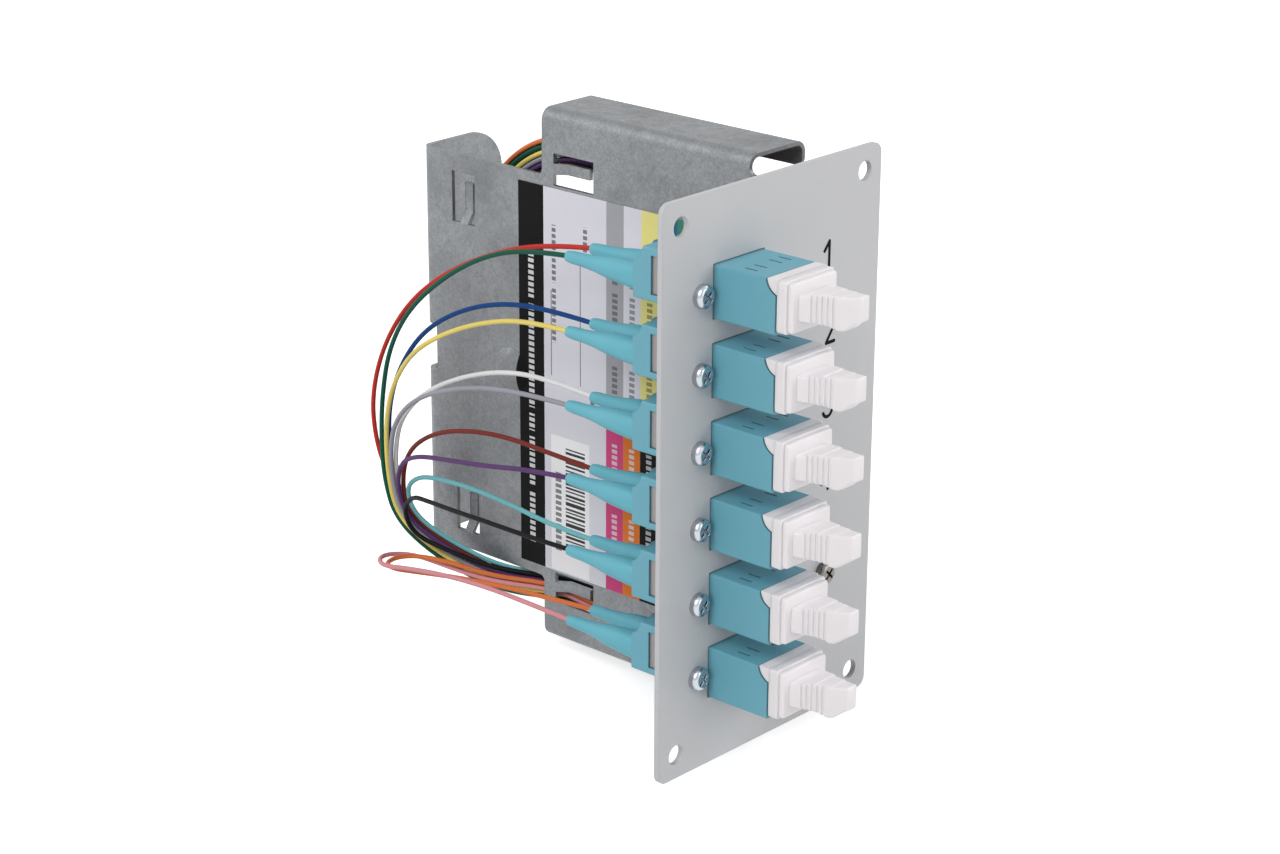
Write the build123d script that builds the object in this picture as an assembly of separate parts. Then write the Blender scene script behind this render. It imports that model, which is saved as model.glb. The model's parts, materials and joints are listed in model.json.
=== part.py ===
"""Fibre splice module with six duplex LC adapters, an insert for a DIN rail splice box.

Millimetres. +X is to the right and +Y to the back, seen from the front, and +Z is up.
The origin is the middle of the front panel's four screw holes, on the panel's back face.
"""

from build123d import *
from math import cos, pi, radians, sin, sqrt, tan
import os

# Front panel
PANEL_W = 57.0
PANEL_H = 103.0
PANEL_T = 1.0
PANEL_CORNER_R = 2.0
PANEL_HOLE_MARGIN = 4.5
PANEL_HOLE_D = 3.6

# Row of adapters
PORTS = 6
PORT_PITCH = 13.7
PORT_X = -9.3

# Adapter
ADAPTER_W = 12.9
ADAPTER_H = 9.4
ADAPTER_FRONT = 14.1
ADAPTER_REAR = 16.8
ADAPTER_EDGE_R = 0.4
CUTOUT_CLEARANCE = 0.1
FLANGE_W = 23.6
FLANGE_T = 2.0
FLANGE_CORNER_R = 1.0
FLANGE_SCREW_SPAN = 19.0
NOTCH_R = 3.1
NOTCH_OUTSIDE = 1.0
NOTCH_RISE = 0.3
CLIP_POCKET_L = 10.8
CLIP_POCKET_H = 6.8
CLIP_POCKET_DEPTH = 0.7
ROOF_MARK_L = 2.7
ROOF_MARK_W = 0.35
ROOF_MARK_DEPTH = 0.3
ROOF_MARK_Y = -7.2
ROOF_MARK_GAP = 2.4

# Duplex LC port inside the adapter
LC_SPACING = 6.25
LC_DROP = 1.9
LC_BORE = 4.7
LC_BODY = 4.5
LATCH_SLOT_W = 2.6
LATCH_SLOT_RISE = 5.4
LATCH_SLOT_L = 10.0
MID_WALL_T = 2.0
BOSS_D = 3.0
BOSS_L = 8.4
BOSS_LIP_D = 1.45
SLEEVE_D = 1.65
SLEEVE_BORE = 1.3
SLEEVE_L = 6.8
SLEEVE_SLIT = 0.25
SLEEVE_CLEARANCE = 0.05

# Side spring clips of the adapters
CLIP_T = 0.35
CLIP_SEAT_CLEARANCE = 0.05
CLIP_TAB_L = 4.0
CLIP_TAB_H = 2.6
CLIP_TAB_RISE = 0.3

# Dust plug
PLUG_W = 12.4
PLUG_COLLAR_T = 3.0
PLUG_BOTTOM_GAP = 0.4
PLUG_SEAT_GAP = 0.05
PLUG_NOTCH_CLEARANCE = 0.15
PLUG_CORNER_R = 1.9
PLUG_PEG_W = 4.5
PLUG_PEG_L = 6.0
PLUG_PEG_BORE = 2.0
GRIP_L = 10.3
GRIP_ROOT_W = 8.4
GRIP_TIP_W = 2.4
GRIP_ROOT_LOW = -2.3
GRIP_ROOT_HIGH = 2.3
GRIP_TIP_LOW = -0.9
GRIP_TIP_HIGH = 3.5
GRIP_RIBS = 4
GRIP_RIB_PITCH = 1.05
GRIP_RIB_FIRST = 2.3
GRIP_RIB_W = 0.5
GRIP_RIB_DEPTH = 0.35
GRIP_BUMP_R = 1.5
GRIP_BUMP_Y = 6.6
GRIP_BUMP_Z = -1.2

# Screws and nuts
SCREW_HEAD_D = 4.2
SCREW_HEAD_H = 1.6
SCREW_HEAD_ROUND = 0.9
SCREW_D = 2.0
SCREW_L = 5.4
SCREW_HOLE_D = 2.2
CROSS_L = 2.4
CROSS_W = 0.5
CROSS_DEPTH = 0.9
NUT_AF = 4.0
NUT_T = 1.6
NUT_BORE_CLEARANCE = 0.04
BRACKET_SCREW_L = 4.0
BRACKET_SCREW_X = 15.3
BRACKET_SCREW_SPAN_Z = 50.2

# Folded carrier sheet behind the panel
SHEET_T = 0.8
BEND_R = 1.5
WALL_X = 4.8
TALL_OVER_PANEL = 0.2
TALL_FRONT_Y = 8.9
TALL_REAR_Y = 57.7
TOP_FLANGE_W = 15.0
LIP_H = 4.7
LIP_CORNER_R = 1.5
REAR_H = 78.6
REAR_Y = 89.1
REAR_FLANGE_W = 20.7
REAR_FLANGE_CORNER_R = 8.0
REAR_NOTCH_H = 9.2
REAR_NOTCH_DEPTH = 3.3
FRONT_FLANGE_W = 16.6
FRONT_FLANGE_STEP = 3.5
FRONT_FLANGE_CORNER_R = 4.0
STEP_R = 1.2
WINDOW_L = 9.8
WINDOW_W = 6.0
REAR_WINDOW_Y = 78.0
REAR_WINDOW_Z = 31.0
FRONT_WINDOW_Y = 49.9
FRONT_WINDOW_Z = 40.8
TONGUE_W = 2.0
TONGUE_OFFSET = 1.5
TONGUE_SLOPE_L = 2.3
TONGUE_L = 7.6
DOME_R = 4.4
DOME_H = 1.4
DOME_Y = 66.0

# Label on the carrier sheet
LABEL_FRONT_Y = 16.5
LABEL_REAR_Y = 63.6
LABEL_H = 74.6
LABEL_T = 0.15

# Duplex LC plugs and boots
FERRULE_D = 1.25
FERRULE_L = 9.6
FERRULE_GAP = 0.05
LC_NOSE_SETBACK = 2.8
LC_NOSE_BORE = 3.5
LC_NOSE_BORE_L = 5.0
LC_BODY_END_Y = 20.6
LATCH_W = 1.8
LATCH_T = 0.7
LATCH_ROOT_SETBACK = 3.0
LATCH_RISE = 2.6
LATCH_END_Y = 16.6
DUPLEX_W = 11.4
DUPLEX_T = 0.7
DUPLEX_FRONT_Y = 17.3
DUPLEX_REAR_Y = 20.2
TRIGGER_W = 4.4
TRIGGER_T = 0.8
TRIGGER_TOP = 4.0
TRIGGER_FRONT_Y = 16.9
BOOT_TIP_Y = 35.1
BOOT_TIP_ROUND = 0.4
BOOT_PROFILE = [(0.0, 2.25), (2.0, 2.2), (5.0, 1.9), (7.2, 1.5), (10.0, 1.25), (14.5, 1.0)]

# Splice comb and its foam pad
COMB_Y = 46.0
COMB_L = 24.0
COMB_SLOTS = 12
COMB_SLOT_PITCH = 3.6
COMB_SLOT_W = 2.5
COMB_SLOT_DEPTH = 4.4
COMB_BASE_T = 1.6
COMB_EDGE = 2.4
COMB_WAIST_L = 8.0
SPLICE_D = 2.4
SPLICE_L = 40.0
PAD_T = 1.0
PAD_MARGIN = 1.0

# Pigtails
FIBRE_D = 0.9
CORNER_SHARE = 0.45
COIL_Y = 47.0
COIL_SPAN_Y = 62.0
COIL_SPAN_Z = 86.5
COIL_CORNER_R = 26.0
COIL_W = 6.2
COIL_T = 8.5
COIL_EDGE_R = 1.5

# Values worked out from those above
PANEL_HOLE_SPAN_X = PANEL_W - 2 * PANEL_HOLE_MARGIN
PANEL_HOLE_SPAN_Z = PANEL_H - 2 * PANEL_HOLE_MARGIN
TALL_H = PANEL_H + 2 * TALL_OVER_PANEL
FRONT_FLANGE_H = TALL_H - 2 * FRONT_FLANGE_STEP
MID_Y = (ADAPTER_REAR - ADAPTER_FRONT) / 2
WALL_IN_X = WALL_X + SHEET_T
BEND_OUT_R = BEND_R + SHEET_T
TONGUE_TOP_X = WALL_X + TONGUE_OFFSET + SHEET_T
DOME_SPHERE_R = (DOME_R**2 + DOME_H**2) / (2 * DOME_H)
DOME_X = WALL_X - DOME_H + DOME_SPHERE_R
PANEL_FRONT_Y = -PANEL_T


def port_z(port):
    """Height of the middle of a port, numbered from 1 at the top."""
    return ((PORTS + 1) / 2 - port) * PORT_PITCH


def box(x0, x1, y0, y1, z0, z1):
    """Block between two corners."""
    middle = ((x0 + x1) / 2, (y0 + y1) / 2, (z0 + z1) / 2)
    return Pos(*middle) * Box(x1 - x0, y1 - y0, z1 - z0)


def rod(x, z, y0, y1, diameter):
    """Round bar along Y."""
    return Pos(x, (y0 + y1) / 2, z) * Rot(90, 0, 0) * Cylinder(diameter / 2, y1 - y0)


def along_x(outline, x0, x1):
    """Closed (y, z) outline, extruded from x0 to x1."""
    face = make_face(Polyline(*outline, close=True))
    return Pos(x0, 0, 0) * extrude(Plane.YZ * face, amount=x1 - x0)


def along_z(outline, z0, z1):
    """Closed (x, y) outline, extruded from z0 to z1."""
    face = make_face(Polyline(*outline, close=True))
    return Pos(0, 0, z0) * extrude(Plane.XY * face, amount=z1 - z0)


def edges_at(solid, axis, **place):
    """Edges along an axis whose middles lie at the given coordinates."""
    found = solid.edges().filter_by(axis)
    for name, values in place.items():
        found = ShapeList(
            edge
            for edge in found
            if min(abs(getattr(edge.center(), name.upper()) - value) for value in values) < 0.01
        )
    return found


def save(shape, name):
    export_step(shape, f"parts/{name}.step")


def front_panel():
    panel = box(-PANEL_W / 2, PANEL_W / 2, PANEL_FRONT_Y, 0, -PANEL_H / 2, PANEL_H / 2)
    panel = fillet(panel.edges().filter_by(Axis.Y), PANEL_CORNER_R)
    for side_x in (-1, 1):
        for side_z in (-1, 1):
            x = side_x * PANEL_HOLE_SPAN_X / 2
            z = side_z * PANEL_HOLE_SPAN_Z / 2
            panel -= rod(x, z, 2 * PANEL_FRONT_Y, PANEL_T, PANEL_HOLE_D)
    half_w = ADAPTER_W / 2 + CUTOUT_CLEARANCE
    half_h = ADAPTER_H / 2 + CUTOUT_CLEARANCE
    for port in range(1, PORTS + 1):
        z = port_z(port)
        sides = (PORT_X - half_w, PORT_X + half_w)
        panel -= box(*sides, 2 * PANEL_FRONT_Y, PANEL_T, z - half_h, z + half_h)
        for side in (-1, 1):
            x = PORT_X + side * FLANGE_SCREW_SPAN / 2
            panel -= rod(x, z, 2 * PANEL_FRONT_Y, PANEL_T, SCREW_HOLE_D)
    for side in (-1, 1):
        z = side * BRACKET_SCREW_SPAN_Z / 2
        panel -= rod(BRACKET_SCREW_X, z, 2 * PANEL_FRONT_Y, PANEL_T, SCREW_HOLE_D)
    return panel


def tall_section():
    """C section with a flange and a down-turned lip at its top and its bottom."""
    length = TALL_REAR_Y - TALL_FRONT_Y
    inner_w = TOP_FLANGE_W - 2 * SHEET_T
    inner_h = TALL_H - 2 * SHEET_T
    ring = RectangleRounded(TOP_FLANGE_W, TALL_H, BEND_OUT_R)
    ring -= RectangleRounded(inner_w, inner_h, BEND_R)
    middle_x = WALL_X + TOP_FLANGE_W / 2
    section = Pos(middle_x, TALL_FRONT_Y, 0) * extrude(Plane.XZ * ring, amount=-length)
    far_x = WALL_X + TOP_FLANGE_W
    lip_z = TALL_H / 2 - LIP_H
    section -= box(middle_x, far_x + 1, TALL_FRONT_Y - 1, TALL_REAR_Y + 1, -lip_z, lip_z)
    lip_ends = edges_at(section, Axis.X, x=[far_x - SHEET_T / 2], z=[-lip_z, lip_z])
    return fillet(lip_ends, LIP_CORNER_R)


def folded_end(length_y, flange_w, height, corner_r):
    """Wall along +Y from a flange along +X, with the bend at the origin and rounded flange ends."""
    outline = Rectangle(flange_w, length_y, align=(Align.MIN, Align.MIN))
    outline = fillet(outline.vertices().group_by(Axis.X)[0].group_by(Axis.Y)[0], BEND_OUT_R)
    hollow = Rectangle(flange_w, length_y, align=(Align.MIN, Align.MIN))
    hollow = fillet(hollow.vertices().group_by(Axis.X)[0].group_by(Axis.Y)[0], BEND_R)
    outline -= Pos(SHEET_T, SHEET_T) * hollow
    fold = extrude(outline, amount=height / 2, both=True)
    tips = edges_at(fold, Axis.Y, x=[flange_w], z=[-height / 2, height / 2])
    return fillet(tips, corner_r)


def tongue(side_z):
    """Lanced strip that slopes out of its window's edge and then runs level with the wall."""
    out_x = WALL_X + TONGUE_OFFSET
    outline = [
        (WALL_X, -SHEET_T / 4),
        (WALL_X, 0),
        (out_x, TONGUE_SLOPE_L),
        (out_x, TONGUE_L),
        (out_x + SHEET_T, TONGUE_L),
        (out_x + SHEET_T, TONGUE_SLOPE_L - SHEET_T / 4),
        (WALL_IN_X, -SHEET_T / 4),
    ]
    strip = along_z(outline, -TONGUE_W / 2, TONGUE_W / 2)
    if side_z:
        return Rot(90, 0, 0) * strip
    return Rot(180, 0, 0) * strip


def carrier_bracket():
    bracket = tall_section()
    overlap_y = 2 * BEND_OUT_R
    front = folded_end(
        TALL_FRONT_Y + overlap_y, FRONT_FLANGE_W, FRONT_FLANGE_H, FRONT_FLANGE_CORNER_R
    )
    bracket += Pos(WALL_X, 0, 0) * front
    rear_l = REAR_Y - TALL_REAR_Y + overlap_y
    rear = folded_end(rear_l, REAR_FLANGE_W, REAR_H, REAR_FLANGE_CORNER_R)
    bracket += Pos(WALL_X, REAR_Y, 0) * Rot(180, 0, 0) * rear
    notch_y = REAR_Y - REAR_NOTCH_DEPTH
    far_x = WALL_X + REAR_FLANGE_W + 1
    half_notch = REAR_NOTCH_H / 2
    bracket -= box(WALL_X - 1, far_x, notch_y, REAR_Y + 1, -half_notch, half_notch)
    steps = edges_at(bracket, Axis.X, y=[TALL_FRONT_Y], z=[-FRONT_FLANGE_H / 2, FRONT_FLANGE_H / 2])
    steps += edges_at(bracket, Axis.X, y=[TALL_REAR_Y], z=[-REAR_H / 2, REAR_H / 2])
    bracket = fillet(steps, STEP_R)
    for side in (-1, 1):
        z = side * REAR_WINDOW_Z
        half = (WINDOW_W / 2, WINDOW_L / 2)
        y_range = (REAR_WINDOW_Y - half[0], REAR_WINDOW_Y + half[0])
        bracket -= box(WALL_X - 1, WALL_IN_X + 1, *y_range, z - half[1], z + half[1])
        bracket += Pos(0, REAR_WINDOW_Y, z - half[1]) * tongue(True)
        z = side * FRONT_WINDOW_Z
        y_range = (FRONT_WINDOW_Y - half[1], FRONT_WINDOW_Y + half[1])
        bracket -= box(WALL_X - 1, WALL_IN_X + 1, *y_range, z - half[0], z + half[0])
        bracket += Pos(0, FRONT_WINDOW_Y + half[1], z) * tongue(False)
        z = side * BRACKET_SCREW_SPAN_Z / 2
        bracket -= rod(BRACKET_SCREW_X, z, -1, SHEET_T + 1, SCREW_D + NUT_BORE_CLEARANCE)
    dome = Pos(DOME_X, DOME_Y, 0) * Sphere(DOME_SPHERE_R)
    reach = DOME_SPHERE_R + 1
    outside = box(WALL_X - reach, WALL_X + SHEET_T / 2, DOME_Y - reach, DOME_Y + reach, -reach, reach)
    bracket += dome & outside
    bracket -= Pos(DOME_X, DOME_Y, 0) * Sphere(DOME_SPHERE_R - SHEET_T)
    return bracket


def port_label():
    """Film on the wall that climbs over the edge of the dome."""
    half_h = LABEL_H / 2
    film = box(WALL_X - LABEL_T, WALL_X, LABEL_FRONT_Y, LABEL_REAR_Y, -half_h, half_h)
    over = Pos(DOME_X, DOME_Y, 0) * Sphere(DOME_SPHERE_R + LABEL_T)
    reach = DOME_SPHERE_R + 1
    over &= box(WALL_X - reach, WALL_X, DOME_Y - reach, LABEL_REAR_Y, -reach, reach)
    film += over
    return film - Pos(DOME_X, DOME_Y, 0) * Sphere(DOME_SPHERE_R)


def adapter():
    """Adapter of one port, with the middle of its panel cut-out at the origin."""
    half_w = ADAPTER_W / 2
    half_h = ADAPTER_H / 2
    body = box(-half_w, half_w, -ADAPTER_FRONT, ADAPTER_REAR, -half_h, half_h)
    body = fillet(body.edges().filter_by(Axis.Y), ADAPTER_EDGE_R)
    flange = box(-FLANGE_W / 2, FLANGE_W / 2, 0, FLANGE_T, -half_h, half_h)
    body += fillet(flange.edges().filter_by(Axis.Y), FLANGE_CORNER_R)
    for side in (-1, 1):
        end_y = ADAPTER_REAR if side > 0 else -ADAPTER_FRONT
        notch_y = end_y + side * NOTCH_OUTSIDE
        notch = Pos(0, notch_y, half_h + NOTCH_RISE) * Rot(0, 90, 0)
        body -= notch * Cylinder(NOTCH_R, ADAPTER_W + 2)
        pocket_y = (FLANGE_T, FLANGE_T + CLIP_POCKET_L)
        pocket_x = sorted((side * (half_w - CLIP_POCKET_DEPTH), side * (half_w + 1)))
        half_pocket = CLIP_POCKET_H / 2
        body -= box(*pocket_x, *pocket_y, -half_pocket, half_pocket)
        screw_x = side * FLANGE_SCREW_SPAN / 2
        body -= rod(screw_x, 0, -1, FLANGE_T + 1, SCREW_HOLE_D)
        for inner in (-1, 1):
            mark_x = side * LC_SPACING / 2 + inner * ROOF_MARK_GAP / 2 * 1.0
            body -= box(
                mark_x - ROOF_MARK_W / 2,
                mark_x + ROOF_MARK_W / 2,
                ROOF_MARK_Y - ROOF_MARK_L / 2,
                ROOF_MARK_Y + ROOF_MARK_L / 2,
                half_h - ROOF_MARK_DEPTH,
                half_h + 1,
            )
        body -= lc_port(side * LC_SPACING / 2)
    return body


def lc_port(x):
    """Both cavities of one LC channel, with the tube for the sleeve left standing."""
    half = LC_BORE / 2
    wall_front = MID_Y - MID_WALL_T / 2
    wall_rear = MID_Y + MID_WALL_T / 2
    low = -LC_DROP - half
    cavity = box(x - half, x + half, -ADAPTER_FRONT - 1, wall_front, low, low + LC_BORE)
    cavity += box(x - half, x + half, wall_rear, ADAPTER_REAR + 1, low, low + LC_BORE)
    slot = (x - LATCH_SLOT_W / 2, x + LATCH_SLOT_W / 2)
    top = -LC_DROP + LATCH_SLOT_RISE
    cavity += box(*slot, -ADAPTER_FRONT - 1, LATCH_SLOT_L - ADAPTER_FRONT, -LC_DROP, top)
    cavity += box(*slot, ADAPTER_REAR - LATCH_SLOT_L, ADAPTER_REAR + 1, -LC_DROP, top)
    cavity -= rod(x, -LC_DROP, MID_Y - BOSS_L / 2, MID_Y + BOSS_L / 2, BOSS_D)
    cavity += rod(x, -LC_DROP, MID_Y - BOSS_L, MID_Y + BOSS_L, BOSS_LIP_D)
    half_sleeve = SLEEVE_L / 2 + SLEEVE_CLEARANCE
    seat_d = SLEEVE_D + 2 * SLEEVE_CLEARANCE
    return cavity + rod(x, -LC_DROP, MID_Y - half_sleeve, MID_Y + half_sleeve, seat_d)


def channels():
    """Axis (x, z) of each of the twelve LC channels, port by port from the top."""
    for port in range(1, PORTS + 1):
        for side in (1, -1):
            yield PORT_X + side * LC_SPACING / 2, port_z(port) - LC_DROP


def alignment_sleeve(x, z):
    sleeve = rod(x, z, MID_Y - SLEEVE_L / 2, MID_Y + SLEEVE_L / 2, SLEEVE_D)
    sleeve -= rod(x, z, MID_Y - SLEEVE_L, MID_Y + SLEEVE_L, SLEEVE_BORE)
    half = SLEEVE_SLIT / 2
    return sleeve - box(x - half, x + half, MID_Y - SLEEVE_L, MID_Y + SLEEVE_L, z, z + SLEEVE_D)


def side_clip(side, z):
    """Spring plate in an adapter's side pocket, with a tab pressed out of it."""
    floor_x = PORT_X + side * (ADAPTER_W / 2 - CLIP_POCKET_DEPTH)
    length = CLIP_POCKET_L - 2 * CLIP_SEAT_CLEARANCE
    half_h = CLIP_POCKET_H / 2 - CLIP_SEAT_CLEARANCE
    y0 = FLANGE_T + CLIP_SEAT_CLEARANCE
    outer_x = floor_x + side * CLIP_T
    plate = box(*sorted((floor_x, outer_x)), y0, y0 + length, z - half_h, z + half_h)
    tab_y = y0 + length / 2
    tab = [
        (outer_x, tab_y - CLIP_TAB_L / 2),
        (outer_x, tab_y + CLIP_TAB_L / 2),
        (outer_x + side * CLIP_TAB_RISE, tab_y + CLIP_TAB_L / 4),
    ]
    return plate + along_z(tab, z - CLIP_TAB_H / 2, z + CLIP_TAB_H / 2)


def dust_plug():
    """Plug of one adapter, in the adapter's own frame."""
    front_y = -ADAPTER_FRONT - PLUG_SEAT_GAP
    face_y = front_y - PLUG_COLLAR_T
    half_h = ADAPTER_H / 2
    back_y = -ADAPTER_FRONT - NOTCH_OUTSIDE + NOTCH_R - PLUG_NOTCH_CLEARANCE
    collar = box(-PLUG_W / 2, PLUG_W / 2, face_y, back_y, PLUG_BOTTOM_GAP - half_h, half_h)
    low_back = box(-PLUG_W, PLUG_W, front_y, 0, -ADAPTER_H, half_h + NOTCH_RISE - NOTCH_R)
    notch = Pos(0, -ADAPTER_FRONT - NOTCH_OUTSIDE, half_h + NOTCH_RISE) * Rot(0, 90, 0)
    lobe = notch * Cylinder(NOTCH_R - PLUG_NOTCH_CLEARANCE, PLUG_W)
    forward = box(-PLUG_W, PLUG_W, face_y, front_y, -ADAPTER_H, ADAPTER_H)
    collar = collar & (lobe + forward) - low_back
    rounded = edges_at(collar, Axis.Z, y=[face_y]) + edges_at(collar, Axis.X, y=[face_y], z=[half_h])
    collar = fillet(rounded, PLUG_CORNER_R)
    plug = collar + grip(face_y)
    for side in (-1, 1):
        plug += plug_peg(side * LC_SPACING / 2, front_y)
    return plug


def plug_peg(x, front_y):
    """Square peg that fills the mouth of one LC channel."""
    half = PLUG_PEG_W / 2
    peg = box(x - half, x + half, front_y - 1, front_y + PLUG_PEG_L, -LC_DROP - half, half - LC_DROP)
    peg = chamfer(peg.faces().sort_by(Axis.Y)[-1].edges(), CLIP_T)
    return peg - rod(x, -LC_DROP, front_y + PLUG_PEG_L / 2, front_y + PLUG_PEG_L + 1, PLUG_PEG_BORE)


def grip(face_y):
    """Tapered finger grip with upright ribs on its two sides and a round bump below."""
    tip_y = face_y - GRIP_L
    root_y = face_y + 1
    side_view = [
        (root_y, GRIP_ROOT_LOW),
        (face_y, GRIP_ROOT_LOW),
        (face_y - GRIP_BUMP_Y, GRIP_ROOT_LOW),
        (tip_y, GRIP_TIP_LOW),
        (tip_y, GRIP_TIP_HIGH),
        (face_y, GRIP_ROOT_HIGH),
        (root_y, GRIP_ROOT_HIGH),
    ]
    body = along_x(side_view, -GRIP_ROOT_W, GRIP_ROOT_W)
    top_view = [
        (-GRIP_ROOT_W / 2, root_y),
        (-GRIP_ROOT_W / 2, face_y),
        (-GRIP_TIP_W / 2, tip_y),
        (GRIP_TIP_W / 2, tip_y),
        (GRIP_ROOT_W / 2, face_y),
        (GRIP_ROOT_W / 2, root_y),
    ]
    body &= along_z(top_view, -ADAPTER_H, ADAPTER_H)
    bump_w = GRIP_ROOT_W + (GRIP_TIP_W - GRIP_ROOT_W) * GRIP_BUMP_Y / GRIP_L
    bump = Pos(0, face_y - GRIP_BUMP_Y, GRIP_BUMP_Z - GRIP_BUMP_R / 2) * Rot(0, 90, 0)
    body += bump * Cylinder(GRIP_BUMP_R, bump_w - GRIP_RIB_DEPTH)
    lean = (GRIP_ROOT_W - GRIP_TIP_W) / 2 / GRIP_L
    for rib in range(GRIP_RIBS):
        forward = GRIP_RIB_FIRST + rib * GRIP_RIB_PITCH
        for side in (-1, 1):
            x = side * (GRIP_ROOT_W / 2 - lean * forward)
            groove = Pos(x, face_y - forward, 0) * Box(
                2 * GRIP_RIB_DEPTH, GRIP_RIB_W, 2 * ADAPTER_H
            )
            body -= groove
    return body


def pan_screw(x, z, length):
    """Pan head screw through the panel, head to the front, with a cross recess."""
    head = rod(x, z, PANEL_FRONT_Y - SCREW_HEAD_H, PANEL_FRONT_Y, SCREW_HEAD_D)
    head = fillet(head.edges().group_by(Axis.Y)[0], SCREW_HEAD_ROUND)
    top_y = PANEL_FRONT_Y - SCREW_HEAD_H
    for turn in (45, 135):
        arm = Box(CROSS_L, 2 * CROSS_DEPTH, CROSS_W)
        head -= Pos(x, top_y, z) * Rot(0, turn, 0) * arm
    return head + rod(x, z, PANEL_FRONT_Y, PANEL_FRONT_Y + length, SCREW_D)


def nut(x, z):
    """Hexagon nut behind an adapter's flange."""
    outline = RegularPolygon(NUT_AF / 2, 6, major_radius=False)
    outline -= Circle((SCREW_D + NUT_BORE_CLEARANCE) / 2)
    return Pos(x, FLANGE_T, z) * extrude(Plane.XZ * outline, amount=-NUT_T)


def adapter_screw_places():
    for port in range(1, PORTS + 1):
        for side in (-1, 1):
            yield PORT_X + side * FLANGE_SCREW_SPAN / 2, port_z(port)


def ferrule(x, z):
    tip_y = MID_Y + FERRULE_GAP
    pin = rod(x, z, tip_y, tip_y + FERRULE_L, FERRULE_D)
    return chamfer(pin.edges().group_by(Axis.Y)[0], FERRULE_D / 10)


def lc_plug(x, z):
    """One LC plug: square body with a bored nose and a sprung latch moulded on top."""
    half = LC_BODY / 2
    nose_y = MID_Y + LC_NOSE_SETBACK
    body = box(x - half, x + half, nose_y, LC_BODY_END_Y, z - half, z + half)
    body -= rod(x, z, nose_y - 1, nose_y + LC_NOSE_BORE_L, LC_NOSE_BORE)
    ferrule_end = MID_Y + FERRULE_GAP + FERRULE_L
    body -= rod(x, z, nose_y, ferrule_end, FERRULE_D)
    root_y = nose_y + LATCH_ROOT_SETBACK
    top = z + half
    latch = [
        (root_y, top - LATCH_T / 2),
        (root_y, top + LATCH_T / 2),
        (LATCH_END_Y, top + LATCH_RISE),
        (LATCH_END_Y, top + LATCH_RISE - LATCH_T),
        (root_y + 2 * LATCH_T, top - LATCH_T / 2),
    ]
    return body + along_x(latch, x - LATCH_W / 2, x + LATCH_W / 2)


def duplex_clip(z):
    """Frame that joins two LC plugs, with one trigger over both latches."""
    body_z = z - LC_DROP
    half_h = LC_BODY / 2 + DUPLEX_T
    half_w = DUPLEX_W / 2 + DUPLEX_T / 2
    clip = box(
        PORT_X - half_w, PORT_X + half_w, DUPLEX_FRONT_Y, DUPLEX_REAR_Y, body_z - half_h, body_z + half_h
    )
    half = LC_BODY / 2
    for side in (-1, 1):
        x = PORT_X + side * LC_SPACING / 2
        clip -= box(x - half, x + half, 0, ADAPTER_REAR * 2, body_z - half, body_z + half)
    half_t = TRIGGER_W / 2
    top = z + TRIGGER_TOP
    post_y = DUPLEX_REAR_Y - TRIGGER_T
    clip += box(PORT_X - half_t, PORT_X + half_t, post_y, DUPLEX_REAR_Y, body_z + half, top)
    clip += box(
        PORT_X - half_t, PORT_X + half_t, TRIGGER_FRONT_Y, DUPLEX_REAR_Y, top - TRIGGER_T, top
    )
    return clip


def boot(x, z):
    """Bend relief boot, a turned form that narrows from the plug to the fibre."""
    length = BOOT_TIP_Y - LC_BODY_END_Y
    side = Spline(*[(along, radius) for along, radius in BOOT_PROFILE])
    outline = side + Polyline((BOOT_PROFILE[-1]), (length, 0), (0, 0), BOOT_PROFILE[0])
    turned = revolve(make_face(outline), Axis.X)
    return Pos(x, LC_BODY_END_Y, z) * Rot(0, 0, 90) * turned


def splice_comb():
    """Comb for twelve splice sleeves, each slot open to +X and running along Y."""
    height = COMB_SLOTS * COMB_SLOT_PITCH + 2 * COMB_EDGE
    base_x = WALL_IN_X + PAD_T
    top_x = base_x + COMB_BASE_T + COMB_SLOT_DEPTH
    comb = box(base_x, top_x, COMB_Y - COMB_L / 2, COMB_Y + COMB_L / 2, -height / 2, height / 2)
    for slot in range(COMB_SLOTS):
        z = (slot - (COMB_SLOTS - 1) / 2) * COMB_SLOT_PITCH
        half = COMB_SLOT_W / 2
        comb -= box(base_x + COMB_BASE_T, top_x + 1, 0, REAR_Y, z - half, z + half)
    half_waist = COMB_WAIST_L / 2
    waist = box(
        base_x + COMB_BASE_T, top_x + 1, COMB_Y - half_waist, COMB_Y + half_waist, -height, height
    )
    return comb - waist


def splice_protectors():
    """Shrink sleeves over the twelve splices, one in each slot of the comb."""
    x = WALL_IN_X + PAD_T + COMB_BASE_T + SPLICE_D / 2
    y_range = (COMB_Y - SPLICE_L / 2, COMB_Y + SPLICE_L / 2)
    rows = [(slot - (COMB_SLOTS - 1) / 2) * COMB_SLOT_PITCH for slot in range(COMB_SLOTS)]
    return Compound([rod(x, z, *y_range, SPLICE_D) for z in rows])


def foam_pad():
    height = COMB_SLOTS * COMB_SLOT_PITCH + 2 * COMB_EDGE - 2 * PAD_MARGIN
    half_l = COMB_L / 2 - PAD_MARGIN
    y_range = (COMB_Y - half_l, COMB_Y + half_l)
    return box(WALL_IN_X, WALL_IN_X + PAD_T, *y_range, -height / 2, height / 2)


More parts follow.
